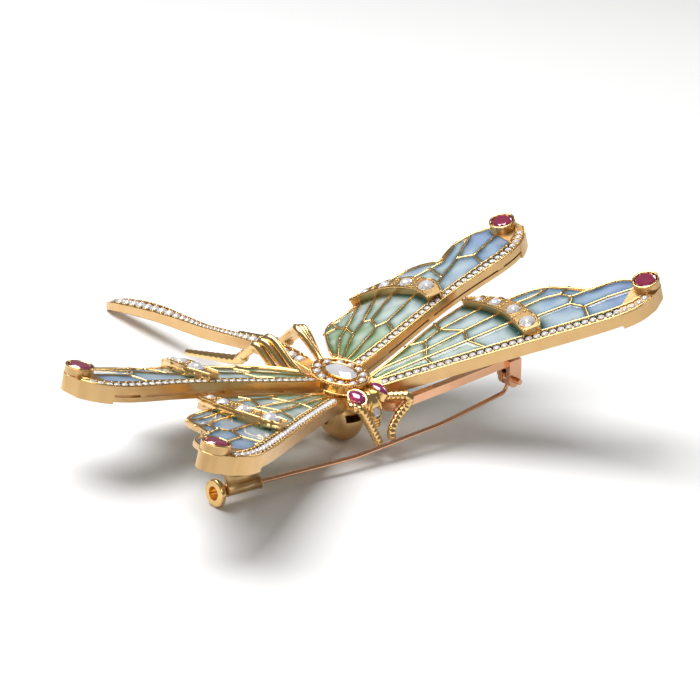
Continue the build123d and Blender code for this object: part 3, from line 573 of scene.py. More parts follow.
# %% The wings' driving dimensions
FORE = {
    "name": "fore",
    "slope": 17.93,
    "root_height": -3.36,
    "rail_line": (-0.616, -0.07),
    "camber_radius": 61.0,
    "span": (4.5, 49.0),
    "root_cut": 5.4,
    "rail": [
        (3.0, -3.25, 1.1), (16.4, -11.5, 1.12), (26.6, -18.0, 1.2), (36.6, -24.4, 1.25),
        (40.2, -26.4, 1.25), (43.2, -27.55, 1.15), (46.2, -27.75, 1.0),
    ],
    "pave": {"first": 5.7, "last": 45.2, "count": 34, "radius": 0.62},
    "crescent": [
        (28.2, -18.0, 1.5, 0), (29.07, -16.0, 1.8, 1.5), (30.45, -11.2, 1.75, 1.3),
        (30.6, -6.4, 1.45, 1.15), (30.05, -2.7, 1.05, 0.8), (29.2, 0.3, 0.6, 0),
    ],
    "collet": (47.83, -25.67),
    "edges": [
        [(4.4, -1.05), (9.56, -1.25), (15.32, -0.61), (22.29, 0.47), (28.9, 1.0)],
        [(30.2, -4.6), (33.92, -5.6), (37.3, -6.9), (39.7, -8.9), (41.15, -12.6), (42.6, -17.4)],
        [(42.6, -17.4), (44.57, -18.2), (46.9, -19.6), (48.2, -21.9), (48.7, -24.2)],
    ],
    "hidden": [(47.83, -25.67), (45.0, -27.7), (40.2, -26.4), (26.6, -18.0), (16.4, -11.5), (3.0, -3.25)],
    "veins": [
        [(4.6, -1.9), (8.45, -1.95), (15.6, -4.7), (22.91, -6.45), (29.2, -7.9)],
        [(4.6, -2.9), (9.61, -4.6), (13.9, -6.3), (21.07, -9.19), (28.8, -12.1)],
        [(22.91, -6.45), (21.07, -9.19), (21.4, -13.6)],
        [(14.4, -0.4), (17.19, -2.56), (15.6, -4.7), (13.9, -6.3), (13.4, -8.9)],
        [(17.19, -2.56), (21.16, -2.15), (22.2, 0.7)],
        [(21.16, -2.15), (22.91, -6.45)],
        [(21.16, -2.15), (29.4, -3.5)],
        [(30.5, -14.3), (33.03, -15.26), (37.65, -17.39), (38.19, -20.22), (36.1, -23.4)],
        [(37.65, -17.39), (39.31, -15.96), (43.2, -17.7)],
        [(31.5, -10.2), (34.31, -10.96), (37.04, -11.86), (39.05, -13.52), (39.31, -15.96)],
        [(38.19, -20.22), (42.34, -21.86), (46.4, -24.2)],
        [(39.05, -13.52), (41.7, -13.1)],
        [(31.3, -7.3), (34.55, -8.67), (37.19, -9.67), (40.4, -9.6)],
    ],
}
HIND = {
    "name": "hind",
    "slope": 15.34,
    "root_height": -1.6,
    "rail_line": (0.076, 1.94),
    "camber_radius": 33.3,
    "span": (4.0, 49.0),
    "root_cut": 5.0,
    "rail": [
        (3.0, 1.15, 1.05), (11.3, 1.6, 1.05), (25.7, 2.95, 0.95), (34.3, 3.15, 1.1),
        (40.6, 3.05, 1.2), (44.4, 3.6, 1.15), (47.0, 4.9, 1.0), (48.6, 6.5, 0.8),
    ],
    "pave": {"first": 5.2, "last": 47.4, "count": 33, "radius": 0.58},
    "crescent": [
        (24.9, 3.0, 1.4, 0), (26.0, 6.4, 1.75, 1.5), (25.35, 10.9, 1.75, 1.25),
        (23.8, 15.1, 1.4, 1.05), (21.5, 18.1, 1.0, 0.8), (19.3, 19.9, 0.6, 0),
    ],
    "collet": (47.17, 9.2),
    "edges": [
        [(3.7, 6.3), (6.1, 10.86), (8.95, 15.3), (11.2, 18.1), (13.6, 19.3), (16.2, 18.7), (19.0, 19.0)],
        [(22.0, 18.5), (23.4, 19.2), (26.5, 19.6), (29.8, 18.6), (32.4, 16.2), (34.0, 13.3), (34.9, 12.9)],
        [(34.9, 12.9), (36.9, 13.9), (39.65, 14.7), (42.5, 14.4), (44.9, 13.3), (47.2, 11.0)],
    ],
    "hidden": [
        (47.17, 9.2), (48.6, 6.5), (44.4, 3.6), (34.3, 3.15), (25.7, 2.95), (11.3, 1.6), (3.0, 1.15),
    ],
    "veins": [
        [(4.0, 3.3), (12.45, 5.86), (14.07, 6.65), (16.07, 5.99), (24.4, 7.95)],
        [(16.07, 5.99), (14.6, 2.6)],
        [(14.07, 6.65), (15.18, 9.31), (23.9, 13.2)],
        [(15.18, 9.31), (14.01, 10.44)],
        [(4.0, 4.3), (10.78, 9.09), (14.01, 10.44), (22.6, 16.7)],
        [(10.78, 9.09), (11.89, 12.45), (11.6, 14.76), (9.3, 16.2)],
        [(11.89, 12.45), (15.53, 15.24), (19.4, 18.4)],
        [(11.6, 14.76), (13.9, 19.6)],
        [(4.0, 5.4), (8.7, 10.6), (11.89, 12.45)],
        [(27.4, 6.3), (30.06, 7.39), (36.22, 9.74), (38.25, 7.43), (37.0, 4.0)],
        [(38.25, 7.43), (45.2, 8.8)],
        [(36.22, 9.74), (43.6, 14.2)],
        [(30.4, 7.5), (31.83, 12.24), (34.31, 11.7), (40.6, 14.9)],
        [(31.83, 12.24), (26.4, 13.9)],
    ],
}
WINGS = [FORE, HIND]
SIDES = {"left": -1, "right": 1}
VEIN_WIDTH = 0.42
EDGE_WIRE = 0.55
COLLET_RADIUS = 2.3
RUBY_RADIUS = 1.95

# %% Places on a wing


def along_rail(wing):
    """Unit vector along the straight part of the rail, in the plane of the wing."""
    slope = wing["rail_line"][0]
    return np.array([1, slope]) / math.hypot(1, slope)


def on_wing(wing, uv, height):
    """Points at a height over the barrel of a wing, and the barrel's normals, both in the drawing.

    behind = distance back from the rail line; turn = asin(behind / R);
    the point lies (R + h) sin(turn) back and (R + h) cos(turn) - R up.
    """
    uv = np.asarray(uv, float)
    slope, start = wing["rail_line"]
    radius = wing["camber_radius"]
    along = along_rail(wing)
    side = np.array([-along[1], along[0]])
    behind = np.maximum((uv[:, 1] - slope * uv[:, 0] - start) / math.hypot(1, slope), 0)
    turn = np.arcsin(behind / radius)
    reach = (radius + height) * np.sin(turn) - behind
    rise = (radius + height) * np.cos(turn) - radius
    flat = np.column_stack([uv + side * reach[:, None], rise])
    normal = np.column_stack([side * np.sin(turn)[:, None], np.cos(turn)])
    return lifted(wing, flat), lifted(wing, normal, moved=False)


def lifted(wing, local, moved=True):
    """From the plane of a wing to the drawing: turn up by the slope, then up to the root's height."""
    s, c = math.sin(math.radians(wing["slope"])), math.cos(math.radians(wing["slope"]))
    matrix = np.array([[c, 0, -s], [0, 1, 0], [s, 0, c]])
    points = local @ matrix.T
    return points + np.array([0, 0, wing["root_height"]]) if moved else points


def on_plate(wing, uv, height):
    """Points over the flat plane of a wing, where the rail runs."""
    uv = np.asarray(uv, float)
    return lifted(wing, np.column_stack([uv, np.broadcast_to(height, len(uv))]))


def plate_up(wing):
    """The plane's normal in the drawing."""
    return lifted(wing, np.array([[0.0, 0, 1]]), moved=False)[0]


# %% [markdown]
# A pane needs to know how far each of its points is from the nearest metal.
# The distance to a run of wire is the distance to a segment: clamp the foot of the perpendicular
# between 0 and 1 and measure to it. The smallest distance over all wires wins.

# %% Distance to the metal


def distance_to_line(points, line):
    """Smallest distance from each point to a broken line."""
    best = np.full(len(points), 1e9)
    line = np.asarray(line, float)
    for start, end in zip(line, line[1:]):
        run = end - start
        share = np.clip(((points - start) @ run) / (run @ run), 0, 1)
        best = np.minimum(best, np.linalg.norm(points - start - share[:, None] * run, axis=1))
    return best


def distance_to_band(points, rows):
    """Distance to a strip of changing half width: distance to its middle line less the local width."""
    rows = np.asarray(rows, float)[:, :3]
    best = np.full(len(points), 1e9)
    for start, end in zip(rows, rows[1:]):
        run = end[:2] - start[:2]
        share = np.clip(((points - start[:2]) @ run) / (run @ run), 0, 1)
        half = start[2] + share * (end[2] - start[2])
        gap = np.linalg.norm(points - start[:2] - share[:, None] * run, axis=1) - half
        best = np.minimum(best, gap)
    return best


def outline(wing):
    """The closed outline of a wing, with its free edges smoothed."""
    runs = [curve_through(edge, 4 * len(edge)) for edge in wing["edges"]]
    return np.vstack(runs + [np.array(wing["hidden"], float)])


def inside(points, corners):
    """Even-odd rule: count the sides that a ray from each point crosses."""
    crossed = np.zeros(len(points), bool)
    for a, b in zip(corners, np.roll(corners, -1, 0)):
        spans = (a[1] > points[:, 1]) != (b[1] > points[:, 1])
        if a[1] != b[1]:
            reach = a[0] + (points[:, 1] - a[1]) * (b[0] - a[0]) / (b[1] - a[1])
            crossed ^= spans & (points[:, 0] < reach)
    return crossed


def metal_distance(wing, points):
    """Distance from each point of a wing to the nearest edge of metal."""
    best = distance_to_band(points, wing["rail"])
    best = np.minimum(best, distance_to_band(points, wing["crescent"]))
    for path in wing["veins"]:
        best = np.minimum(best, distance_to_line(points, path) - VEIN_WIDTH / 2)
    for edge in wing["edges"]:
        best = np.minimum(best, distance_to_line(points, curve_through(edge, 4 * len(edge))) - EDGE_WIRE)
    collet = np.linalg.norm(points - np.array(wing["collet"]), axis=1) - COLLET_RADIUS
    best = np.minimum(best, collet)
    return np.minimum(best, points[:, 0] - wing["root_cut"])


# %% [markdown]
# The colour runs from leaf green at the root over a milky ice blue to cornflower at the tip.
# Near metal it turns to a deep green or teal, partly thicker glass and partly painted shade, and a broader
# band of painted shade lies round the raised crescent. Two slow waves keep neighbouring cells from
# matching.

# %% Colour of the enamel
PALE = np.array([
    [0.0, 0.34, 0.50, 0.27],
    [0.15, 0.52, 0.66, 0.50],
    [0.35, 0.66, 0.76, 0.76],
    [0.58, 0.58, 0.70, 0.76],
    [0.78, 0.40, 0.54, 0.70],
    [1.0, 0.30, 0.41, 0.68],
])
SHADE_WIDTH = 0.50
SHADE_WAVE = 0.26
# Width of the painted shade round the raised crescent.
CRESCENT_SHADE_WIDTH = 1.5
# Dark colours by the metal: partly thicker glass, partly painted shade.
DEEP_AND_SHADE = np.array([
    [0.0, 0.07, 0.15, 0.02],
    [0.3, 0.035, 0.12, 0.045],
    [0.6, 0.01, 0.09, 0.085],
    [1.0, 0.025, 0.08, 0.16],
])


def enamel_tone_and_shade(wing, uv, gap):
    """Mix of a pale colour and a dark one, of thicker glass and painted shade, along the wing.

    share = exp(-gap / width) by the metal, or 0.95 exp(-(distance to the crescent / 1.5)^2), painted shade
    round the crescent, where that is more.
    """
    first, last = wing["span"]
    out = np.clip((uv[:, 0] - first) / (last - first), 0, 1)
    wave = 0.06 * np.sin(0.9 * uv[:, 0] + 1.7 * np.sin(0.7 * uv[:, 1])) + 0.05 * np.sin(1.3 * uv[:, 1])
    place = np.clip(out + wave, 0, 1)
    pale = np.column_stack([np.interp(place, PALE[:, 0], PALE[:, k]) for k in (1, 2, 3)])
    deep_and_shade = np.column_stack([np.interp(place, DEEP_AND_SHADE[:, 0], DEEP_AND_SHADE[:, k]) for k in (1, 2, 3)])
    ripple = SHADE_WAVE * np.sin(1.1 * uv[:, 0] + 0.8 * uv[:, 1])
    width = SHADE_WIDTH + ripple * np.sin(0.5 * uv[:, 0] - 1.3 * uv[:, 1])
    # Painted shade: a broad dark band round the raised crescent.
    crescent_shade = distance_to_band(uv, wing["crescent"])
    # Darker near every wire: partly thicker glass, partly painted shade.
    share = np.exp(-np.clip(gap, 0, None) / width)
    share = np.maximum(share, 0.95 * np.exp(-(np.clip(crescent_shade, 0, None) / CRESCENT_SHADE_WIDTH) ** 2))
    share = np.clip(share * 1.1, 0, 1)[:, None]
    return pale * (1 - share) + deep_and_shade * share


# %% [markdown]
# The pane is a fine grid over the outline. Its top dips between the wires like water in a dish,
# height = top + climb exp(-gap / width), and its border is tucked under the edge wire.

# %% Panes
PANE_STEP = 0.3
PANE_TOP = -0.30
PANE_BOTTOM = -0.78
CLIMB = 0.16
SAG = 0.05
CLIMB_WIDTH = 0.35
TUCK = 0.75


def pane(wing):
    """Top and bottom skins over the grid cells inside the outline, joined by walls at the border."""
    corners = outline(wing)
    low, high = corners.min(0), corners.max(0)
    us = np.arange(max(low[0], wing["root_cut"] - 0.4), high[0], PANE_STEP)
    vs = np.arange(low[1], high[1], PANE_STEP)
    grid = np.stack(np.meshgrid(us, vs, indexing="ij"), -1).reshape(-1, 2)
    gap = metal_distance(wing, grid)
    keep = inside(grid, corners) & (gap > -TUCK)
    keep = keep.reshape(len(us), len(vs))
    cells = keep[:-1, :-1] & keep[1:, :-1] & keep[1:, 1:] & keep[:-1, 1:]
    index = np.arange(len(grid)).reshape(len(us), len(vs))
    quads = np.stack([index[:-1, :-1], index[1:, :-1], index[1:, 1:], index[:-1, 1:]], -1)[cells]
    directed = np.concatenate([quads[:, [k, (k + 1) % 4]] for k in range(4)])
    codes = directed[:, 0] * len(grid) + directed[:, 1]
    reverse = directed[:, 1] * len(grid) + directed[:, 0]
    border = directed[~np.isin(codes, reverse)]
    dish = np.exp(-np.clip(gap, 0, None) / CLIMB_WIDTH)
    top, _ = on_wing(wing, grid, PANE_TOP + CLIMB * dish)
    bottom, _ = on_wing(wing, grid, PANE_BOTTOM - SAG * dish)
    used = np.unique(quads)
    slot_of = np.full(len(grid), -1)
    slot_of[used] = np.arange(len(used))
    shift = len(used)
    points = np.vstack([top[used], bottom[used]])
    upper = slot_of[quads]
    lower = upper[:, ::-1] + shift
    walls = np.column_stack([slot_of[border[:, 1]], slot_of[border[:, 0]],
                             slot_of[border[:, 0]] + shift, slot_of[border[:, 1]] + shift])
    faces = [tuple(face) for face in np.vstack([upper, lower, walls]).tolist()]
    tone = enamel_tone_and_shade(wing, grid[used], gap[used])
    return (points, faces, 0), np.vstack([tone, tone])


for wing in WINGS:
    part, tone = pane(wing)
    for side, sign in SIDES.items():
        name = f"enamel_{wing['name']}_{side}"
        piece = add_piece(f"pane_{wing['name']}_{side}", [part], [window_enamel], sign, tone=tone)
        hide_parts(name)
    print("pane", wing["name"], "faces", len(part[1]))

# %% [markdown]
# The veins and the free edges of the solids have square tops. On the real wings they are rounded by
# filing and polishing, and that round top carries the thin bright line. A half-sunk wire gives it.

# %% Veins and edges
VEIN_CAP = 0.22
VEIN_HEIGHT = -0.17
EDGE_CAP = 0.27
EDGE_HEIGHT = -0.16


def vein_caps(wing):
    """Round wires along every vein and free edge, half sunk in the metal below."""
    parts = []
    for path in wing["veins"]:
        line = polyline_at(path, 0.5)
        points, normals = on_wing(wing, line, VEIN_HEIGHT)
        parts.append(wire(points, VEIN_CAP, normals, 8))
    for edge in wing["edges"]:
        line = curve_through(edge, 14 * len(edge))
        tangent = unit(np.gradient(line, axis=0))
        line = line + EDGE_CAP * np.column_stack([tangent[:, 1], -tangent[:, 0]])
        points, normals = on_wing(wing, line, EDGE_HEIGHT)
        parts.append(wire(points, EDGE_CAP, normals, 8))
    return parts


# %% [markdown]
# A rail is a channel of stones between two bright rims. The stones stand close, each held by four
# grains that it shares with its neighbours, on a bed of gold. The stones, their grains and
# the bed are one fused body, as they are in the real setting.

# %% Rails
RIM = 0.17
RIM_HEIGHT = -0.03
STONE_HEIGHT = -0.06
STONE_MARGIN = 0.36
GRAIN_MARGIN = 0.42
GRAIN_HEIGHT = -0.02
GRAIN_RADIUS = 0.2
BED_MARGIN = 0.3
BED_HEIGHTS = (-0.3, -0.7)


def rail_line(wing, count, first=None, last=None):
    """Points and half widths along a rail, at even distances between two distances out."""
    rows = curve_through([row[:2] for row in wing["rail"]], 600)
    half = curve_through([(row[2], 0) for row in wing["rail"]], 600)[:, 0]
    first = rows[0, 0] if first is None else first
    last = rows[-1, 0] if last is None else last
    chosen = (rows[:, 0] >= first) & (rows[:, 0] <= last)
    rows, half = rows[chosen], half[chosen]
    length = np.concatenate([[0], np.cumsum(np.linalg.norm(np.diff(rows, axis=0), axis=1))])
    at = np.linspace(0, length[-1], count)
    line = np.column_stack([np.interp(at, length, rows[:, k]) for k in (0, 1)])
    return line, np.interp(at, length, half)


def across(line):
    """Unit normals of a flat line, to its left."""
    tangent = unit(np.gradient(line, axis=0))
    return np.column_stack([-tangent[:, 1], tangent[:, 0]])


def stone_axes(tangents, normal):
    """Three axes for each stone: along the row, across it, and out of the surface."""
    x = unit(tangents)
    z = np.broadcast_to(normal, x.shape)
    x = unit(x - (x * z).sum(1, keepdims=True) * z)
    return np.stack([x, np.cross(z, x), z], 1)


def rail_rims(wing):
    """A polished round rim along both sides of the rail."""
    line, half = rail_line(wing, 90)
    up = plate_up(wing)
    reach = across(line) * (half - RIM)[:, None]
    return [wire(on_plate(wing, line + sign * reach, RIM_HEIGHT), RIM, up, 8) for sign in (1, -1)]


def rail_field(wing):
    """Stones, shared grains and the bed of a rail."""
    row = wing["pave"]
    line, half = rail_line(wing, row["count"], row["first"], row["last"])
    up = plate_up(wing)
    places = on_plate(wing, line, STONE_HEIGHT)
    tangents = np.gradient(places, axis=0)
    radii = np.minimum(row["radius"], half - STONE_MARGIN)
    stones = set_stones(BRILLIANT, places, stone_axes(tangents, up), radii, 0)
    between = (line[1:] + line[:-1]) / 2
    width = (half[1:] + half[:-1]) / 2 - GRAIN_MARGIN
    reach = across(between) * width[:, None]
    rows = [on_plate(wing, between + sign * reach, GRAIN_HEIGHT) for sign in (1, -1)]
    beads = [grains(row, GRAIN_RADIUS, 1) for row in rows]
    bed_line, bed_half = rail_line(wing, 60, row["first"] - 0.9, row["last"] + 0.7)
    edge = across(bed_line) * (bed_half - BED_MARGIN)[:, None]
    bed = []
    for height in BED_HEIGHTS:
        bed += [on_plate(wing, bed_line + edge, height), on_plate(wing, bed_line - edge, height)]
    count = len(bed_line)
    points = np.vstack(bed)
    faces = []
    for ring in range(count - 1):
        a, b, c, d = (ring + k * count for k in range(4))
        faces += [(b, b + 1, a + 1, a), (c, c + 1, d + 1, d), (a, a + 1, c + 1, c), (d, d + 1, b + 1, b)]
    last = count - 1
    faces += [(0, 2 * count, 3 * count, count), (last, count + last, 3 * count + last, 2 * count + last)]
    return [stones, (points, faces, 1)] + beads


for wing in WINGS:
    field = rail_field(wing)
    caps = vein_caps(wing) + rail_rims(wing)
    for side, sign in SIDES.items():
        label = f"{wing['name']}_{side}"
        stones = add_piece(f"rail_stones_{label}", field, [diamond, bright_gold], sign,
                           smooth=[False, True])
        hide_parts(f"rail_pave_{label}")
        wires = add_piece(f"wires_{label}", caps, [bright_gold], sign)
    print("rail", wing["name"], "stones", wing["pave"]["count"])

# %% [markdown]
# A crescent crosses each wing. Its four diamonds grow towards the rail, and its outer rim swells
# round each of them. That scalloped line is the edge of overlapping circles:
# reach(s) = the largest of sqrt((r + wall)^2 - (s - s_i)^2) over the stones i.

# %% Crescents
CRESCENT_TOP = 1.2
SCALLOP_WALL = 0.42
RIDGE = 0.2
GRAIN_ROW = ((-0.85, 0.22), (-0.5, 0.27), (0.5, 0.27), (0.85, 0.22), (0.0, 0.2))
CLAW_ANGLES = (40, 140, 220, 320)
CLAW_RADIUS = 0.17


def crescent_line(wing, count):
    """The middle line of a crescent, its half width, and the distance along it."""
    rows = curve_through([row[:2] for row in wing["crescent"]], count)
    half = curve_through([(row[2], 0) for row in wing["crescent"]], count)[:, 0]
    length = np.concatenate([[0], np.cumsum(np.linalg.norm(np.diff(rows, axis=0), axis=1))])
    return rows, half, length


def crescent_parts(wing):
    """Rims and grains of a crescent, and the places of its stones."""
    rows, half, length = crescent_line(wing, 90)
    side = across(rows)
    outer_sign = np.sign(side[45, 0])
    stones = np.array([row for row in wing["crescent"] if row[3]], float)
    nearest = [np.argmin(np.linalg.norm(rows - stone[:2], axis=1)) for stone in stones]
    reach = np.zeros(len(rows))
    for stone, k in zip(stones, nearest):
        inner = (stone[3] + SCALLOP_WALL) ** 2 - (length - length[k]) ** 2
        reach = np.maximum(reach, np.sqrt(np.clip(inner, 0, None)))
    reach = np.maximum(reach, half * 0.9)
    parts = []
    outer, normals = on_wing(wing, rows + outer_sign * side * reach[:, None], CRESCENT_TOP - 0.05)
    parts.append(wire(outer, RIDGE, normals, 8))
    skirt, normals = on_wing(wing, rows + outer_sign * side * (reach - 0.1)[:, None], 0.45)
    parts.append(wire(skirt, 0.34, normals, 8, flat=2.2))
    inner_edge, normals = on_wing(wing, rows - outer_sign * side * (half - 0.12)[:, None], CRESCENT_TOP)
    parts.append(wire(inner_edge, RIDGE + 0.04, normals, 8))
    places = []
    for a, b, ka, kb in zip(stones, stones[1:], nearest, nearest[1:]):
        share = a[3] / (a[3] + b[3])
        k = int(round(ka + (kb - ka) * share))
        for offset, radius in GRAIN_ROW:
            places.append((*(rows[k] + side[k] * offset * half[k]), radius))
    for stone, k in zip(stones, nearest):
        along = side[k][::-1] * [1, -1]
        for angle in np.radians(CLAW_ANGLES):
            spot = stone[:2] + (stone[3] + 0.05) * (math.cos(angle) * side[k] + math.sin(angle) * along)
            places.append((*spot, CLAW_RADIUS))
    places = np.array(places)
    beads, _ = on_wing(wing, places[:, :2], CRESCENT_TOP + 0.02)
    parts.append(grains(beads, places[:, 2]))
    spots, normals = on_wing(wing, stones[:, :2], CRESCENT_TOP - 0.02)
    directions = unit(np.column_stack([rows[nearest] - rows[np.array(nearest) - 1], np.zeros(len(stones))]))
    return parts, spots, lifted(wing, directions, moved=False), normals, stones[:, 3]


OLD_CUT = brilliant(table=0.42, crown=0.46, pavilion=0.62, sides=8)

for wing in WINGS:
    rims, spots, directions, normals, radii = crescent_parts(wing)
    for side, sign in SIDES.items():
        label = f"{wing['name']}_{side}"
        rim = add_piece(f"crescent_rim_{label}", rims, [bright_gold], sign)
        for k in range(len(spots)):
            axes = stone_axes(directions[k:k + 1], normals[k])
            cut = set_stones(OLD_CUT, spots[k], axes, radii[k])
            gem_piece = add_piece(f"old_cut_{label}_{k + 1}", [cut], [diamond], sign, smooth=False)
            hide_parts(f"crescent_diamond_{label}_{k + 1}")

# %% [markdown]
# The tip rubies are round, with a very broad table that mirrors the light, in thick rounded collets.
# Below each collet a smooth wall carries the rail round the tip. From above it is the smallest
# outline without hollows round the collet and the end of the rail.

# %% Tip rubies
BROAD_CUT = brilliant(table=0.74, crown=0.26, pavilion=0.6, sides=12)
RUBY_HEIGHT = 0.92
COLLET_RINGS = ((2.16, 1.12, 0.22), (2.3, -0.25, 0.1))
TIP_WALL = {"radius": 2.34, "proud": 0.04, "inward": 0.2, "low": -2.95, "high": -0.12}


def circle_round(centre, radius, count):
    """Points at even angles round a flat centre."""
    angle = np.linspace(0, 2 * np.pi, count, endpoint=False)
    return np.array(centre) + radius * np.column_stack([np.cos(angle), np.sin(angle)])


def collet_parts(wing):
    """The collet's rolled rim and a thin line below it."""
    up = plate_up(wing)
    parts = []
    for radius, height, thickness in COLLET_RINGS:
        line = circle_round(wing["collet"], radius, 48)
        parts.append(wire(on_plate(wing, line, height), thickness, up, 8, closed=True))
    return parts


def convex_outline(points):
    """The convex outline of flat points: walk along them sorted by u and drop every right turn."""
    ordered = points[np.lexsort((points[:, 1], points[:, 0]))]

    def chain(walk):
        kept = []
        for point in walk:
            while len(kept) > 1:
                a, b = kept[-1] - kept[-2], point - kept[-1]
                if a[0] * b[1] - a[1] * b[0] > 0:
                    break
                kept.pop()
            kept.append(point)
        return kept[:-1]

    return np.array(chain(ordered) + chain(ordered[::-1]))


def slab(wing, corners, low, high):
    """A flat outline in the plane of a wing carried straight up from one height to another."""
    count = len(corners)
    points = np.vstack([on_plate(wing, corners, low), on_plate(wing, corners, high)])
    k = np.arange(count)
    walls = np.column_stack([k, (k + 1) % count, (k + 1) % count + count, k + count])
    faces = [tuple(face) for face in walls.tolist()]
    faces += [tuple(range(count - 1, -1, -1)), tuple(range(count, 2 * count))]
    return points, faces, 0


def tip_fairing(wing):
    """The smooth wall round the tip: the convex outline of the rail's last stretch and the collet."""
    line, half = rail_line(wing, 14, wing["rail"][-3][0])
    side = across(line)
    ring = circle_round(wing["collet"], TIP_WALL["radius"], 40)
    edge = line - side * (half + TIP_WALL["proud"])[:, None]
    middle = line + side * (half * TIP_WALL["inward"])[:, None]
    corners = convex_outline(np.vstack([ring, edge, middle]))
    return slab(wing, corners, TIP_WALL["low"], TIP_WALL["high"])


for wing in WINGS:
    up = plate_up(wing)
    rims = collet_parts(wing)
    fairing = tip_fairing(wing)
    place = on_plate(wing, np.array([wing["collet"]]), RUBY_HEIGHT)
    axes = stone_axes(lifted(wing, np.array([[1.0, 0.3, 0]]), moved=False), up)
    cut = set_stones(BROAD_CUT, place, axes, RUBY_RADIUS)
    for side, sign in SIDES.items():
        label = f"{wing['name']}_{side}"
        stone = add_piece(f"ruby_{label}", [cut], [ruby], sign, smooth=False)
        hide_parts(f"tip_ruby_{label}")
        rim = add_piece(f"collet_rim_{label}", rims, [bright_gold], sign)
        wall = add_piece(f"tip_wall_{label}", [fairing], [satin_gold], sign, smooth=False)
print("wings dressed")

# %% [markdown]
# ## Body
# The cluster on the thorax has a thin bezel round a rose-cut diamond: a flat-backed dome whose large
# facets meet in the middle. Small stones stand round it inside a second bezel edged with grains.

# %% Cluster
CENTRE = {"x": 0.2, "y": -0.1, "half_x": 1.95, "half_y": 3.55}
HALO = {"count": 12, "half_x": 3.2, "half_y": 4.78, "radius": 0.7}
RIM_OVAL = (4.2, 5.8)
LEVEL_AXES = np.eye(3)


def oval(half_x, half_y, height, count, centre=(0.0, 0.0), start=0.0):
    """Points evenly spaced along an oval: the fine curve is walked and cut at equal lengths."""
    angle = np.linspace(0, 2 * np.pi, 721)
    x, y = centre[0] + half_x * np.cos(angle), centre[1] + half_y * np.sin(angle)
    length = np.concatenate([[0], np.cumsum(np.hypot(np.diff(x), np.diff(y)))])
    at = (np.arange(count) + start) / count * length[-1]
    around = [np.interp(at, length, values) for values in (x, y)]
    return np.column_stack([*around, np.full(count, height)])


def cluster():
    """Rose-cut centre, bezels, halo stones and grains."""
    middle = (CENTRE["x"], CENTRE["y"])
    rims = [
        wire(oval(RIM_OVAL[0] - 0.14, RIM_OVAL[1] - 0.14, 0.02, 72), 0.17, closed=True),
        wire(oval(RIM_OVAL[0] - 0.02, RIM_OVAL[1] - 0.02, -1.75, 72), 0.15, closed=True),
        wire(oval(CENTRE["half_x"] + 0.16, CENTRE["half_y"] + 0.16, 0.2, 64, middle), 0.15, closed=True),
        grains(oval(RIM_OVAL[0] + 0.02, RIM_OVAL[1] + 0.02, -0.2, 84), 0.17),
        grains(oval(HALO["half_x"] + 0.55, HALO["half_y"] + 0.55, -0.05, HALO["count"]), 0.24),
        grains(oval(HALO["half_x"] - 0.5, HALO["half_y"] - 0.45, -0.05, HALO["count"]), 0.2),
    ]
    rose = rose_cut(10, 0.5, CENTRE["half_y"] / CENTRE["half_x"])
    centre = set_stones(rose, [(*middle, 0.06)], LEVEL_AXES, CENTRE["half_x"])
    places = oval(HALO["half_x"], HALO["half_y"], -0.12, HALO["count"], start=0.5)
    return rims, centre, set_stones(OLD_CUT, places, LEVEL_AXES, HALO["radius"])


rims, centre, ring = cluster()
piece = add_piece("cluster_rims", rims, [bright_gold])
CLUSTER_STONES = [
    ("rose_cut_centre", centre, "centre_diamond"),
    ("halo_stones", ring, "halo_diamonds"),
]
for name, part, node in CLUSTER_STONES:
    piece = add_piece(name, [part], [diamond], smooth=False)
    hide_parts(node)

# %% [markdown]
# The eyes are smooth oval rubies without facets, each in a thin bezel. They look up and out.
# A pointed face runs down between them, with ridges beside a diamond and ribs round the muzzle.

# %% Head
EYE = {"x": 2.33, "y": -7.14, "z": -1.3, "half_long": 1.85, "half_wide": 1.2, "dome": 0.85}
FACE_STONE = {"y": -9.25, "z": -3.9, "radius": 0.95}
FACE_ROWS = np.array([
    [-0.95, -8.3, -6.0, 1.8],
    [-2.3, -9.1, -5.7, 2.4],
    [-4.1, -9.35, -5.8, 1.8],
    [-5.6, -9.6, -7.2, 1.1],
    [-6.5, -9.7, -8.3, 0.6],
])


def squared(x, z):
    """Three axes from a facing direction z and a rough direction x along it."""
    z = unit(np.array(z, float))
    x = unit(np.array(x, float) - np.dot(x, z) * z)
    return np.stack([x, np.cross(z, x), z])


def on_plane(origin, axes, local):
    """Points given in a plane's own axes, in the drawing."""
    return np.array(origin) + np.asarray(local) @ axes


def face_ring(height, grow):
    """The outline of the face at a height: an ellipse between its front and back rows."""
    rows = FACE_ROWS[::-1]
    front, back, half = (np.interp(height, rows[:, 0], rows[:, k]) for k in (1, 2, 3))
    return oval(half + grow, (back - front) / 2 + grow, height, 36, (0, (front + back) / 2))


eye_axes = squared((0, -1, -0.18), (0.2, -0.18, 0.95))
eye_place = (EYE["x"], EYE["y"], EYE["z"])
EYE_SIZE = np.array([[EYE["half_long"]], [EYE["half_wide"]], [EYE["dome"]]])
EYE_RINGS = ((0.04, -0.2, 0.15), (-0.1, -0.6, 0.3))
SMOOTH_BALL = ball(28, 16)
cabochon = set_stones(SMOOTH_BALL, [eye_place], eye_axes * EYE_SIZE, 1.0)
bezel = []
for grow, height, thickness in EYE_RINGS:
    line = oval(EYE["half_long"] + grow, EYE["half_wide"] + grow, height, 48)
    bezel.append(wire(on_plane(eye_place, eye_axes, line), thickness, up=eye_axes[2], closed=True))
for side, sign in SIDES.items():
    eye = add_piece(f"cabochon_{side}", [cabochon], [eye_ruby], sign)
    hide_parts(f"eye_{side}")
    rim = add_piece(f"eye_bezel_{side}", bezel, [bright_gold], sign)

face_axes = squared((1, 0, 0), (0, -0.92, 0.39))
face_place = (0, FACE_STONE["y"], FACE_STONE["z"])
stone = set_stones(OLD_CUT, [face_place], face_axes, FACE_STONE["radius"])
piece = add_piece("face_stone", [stone], [diamond], smooth=False)
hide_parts("head_diamond")

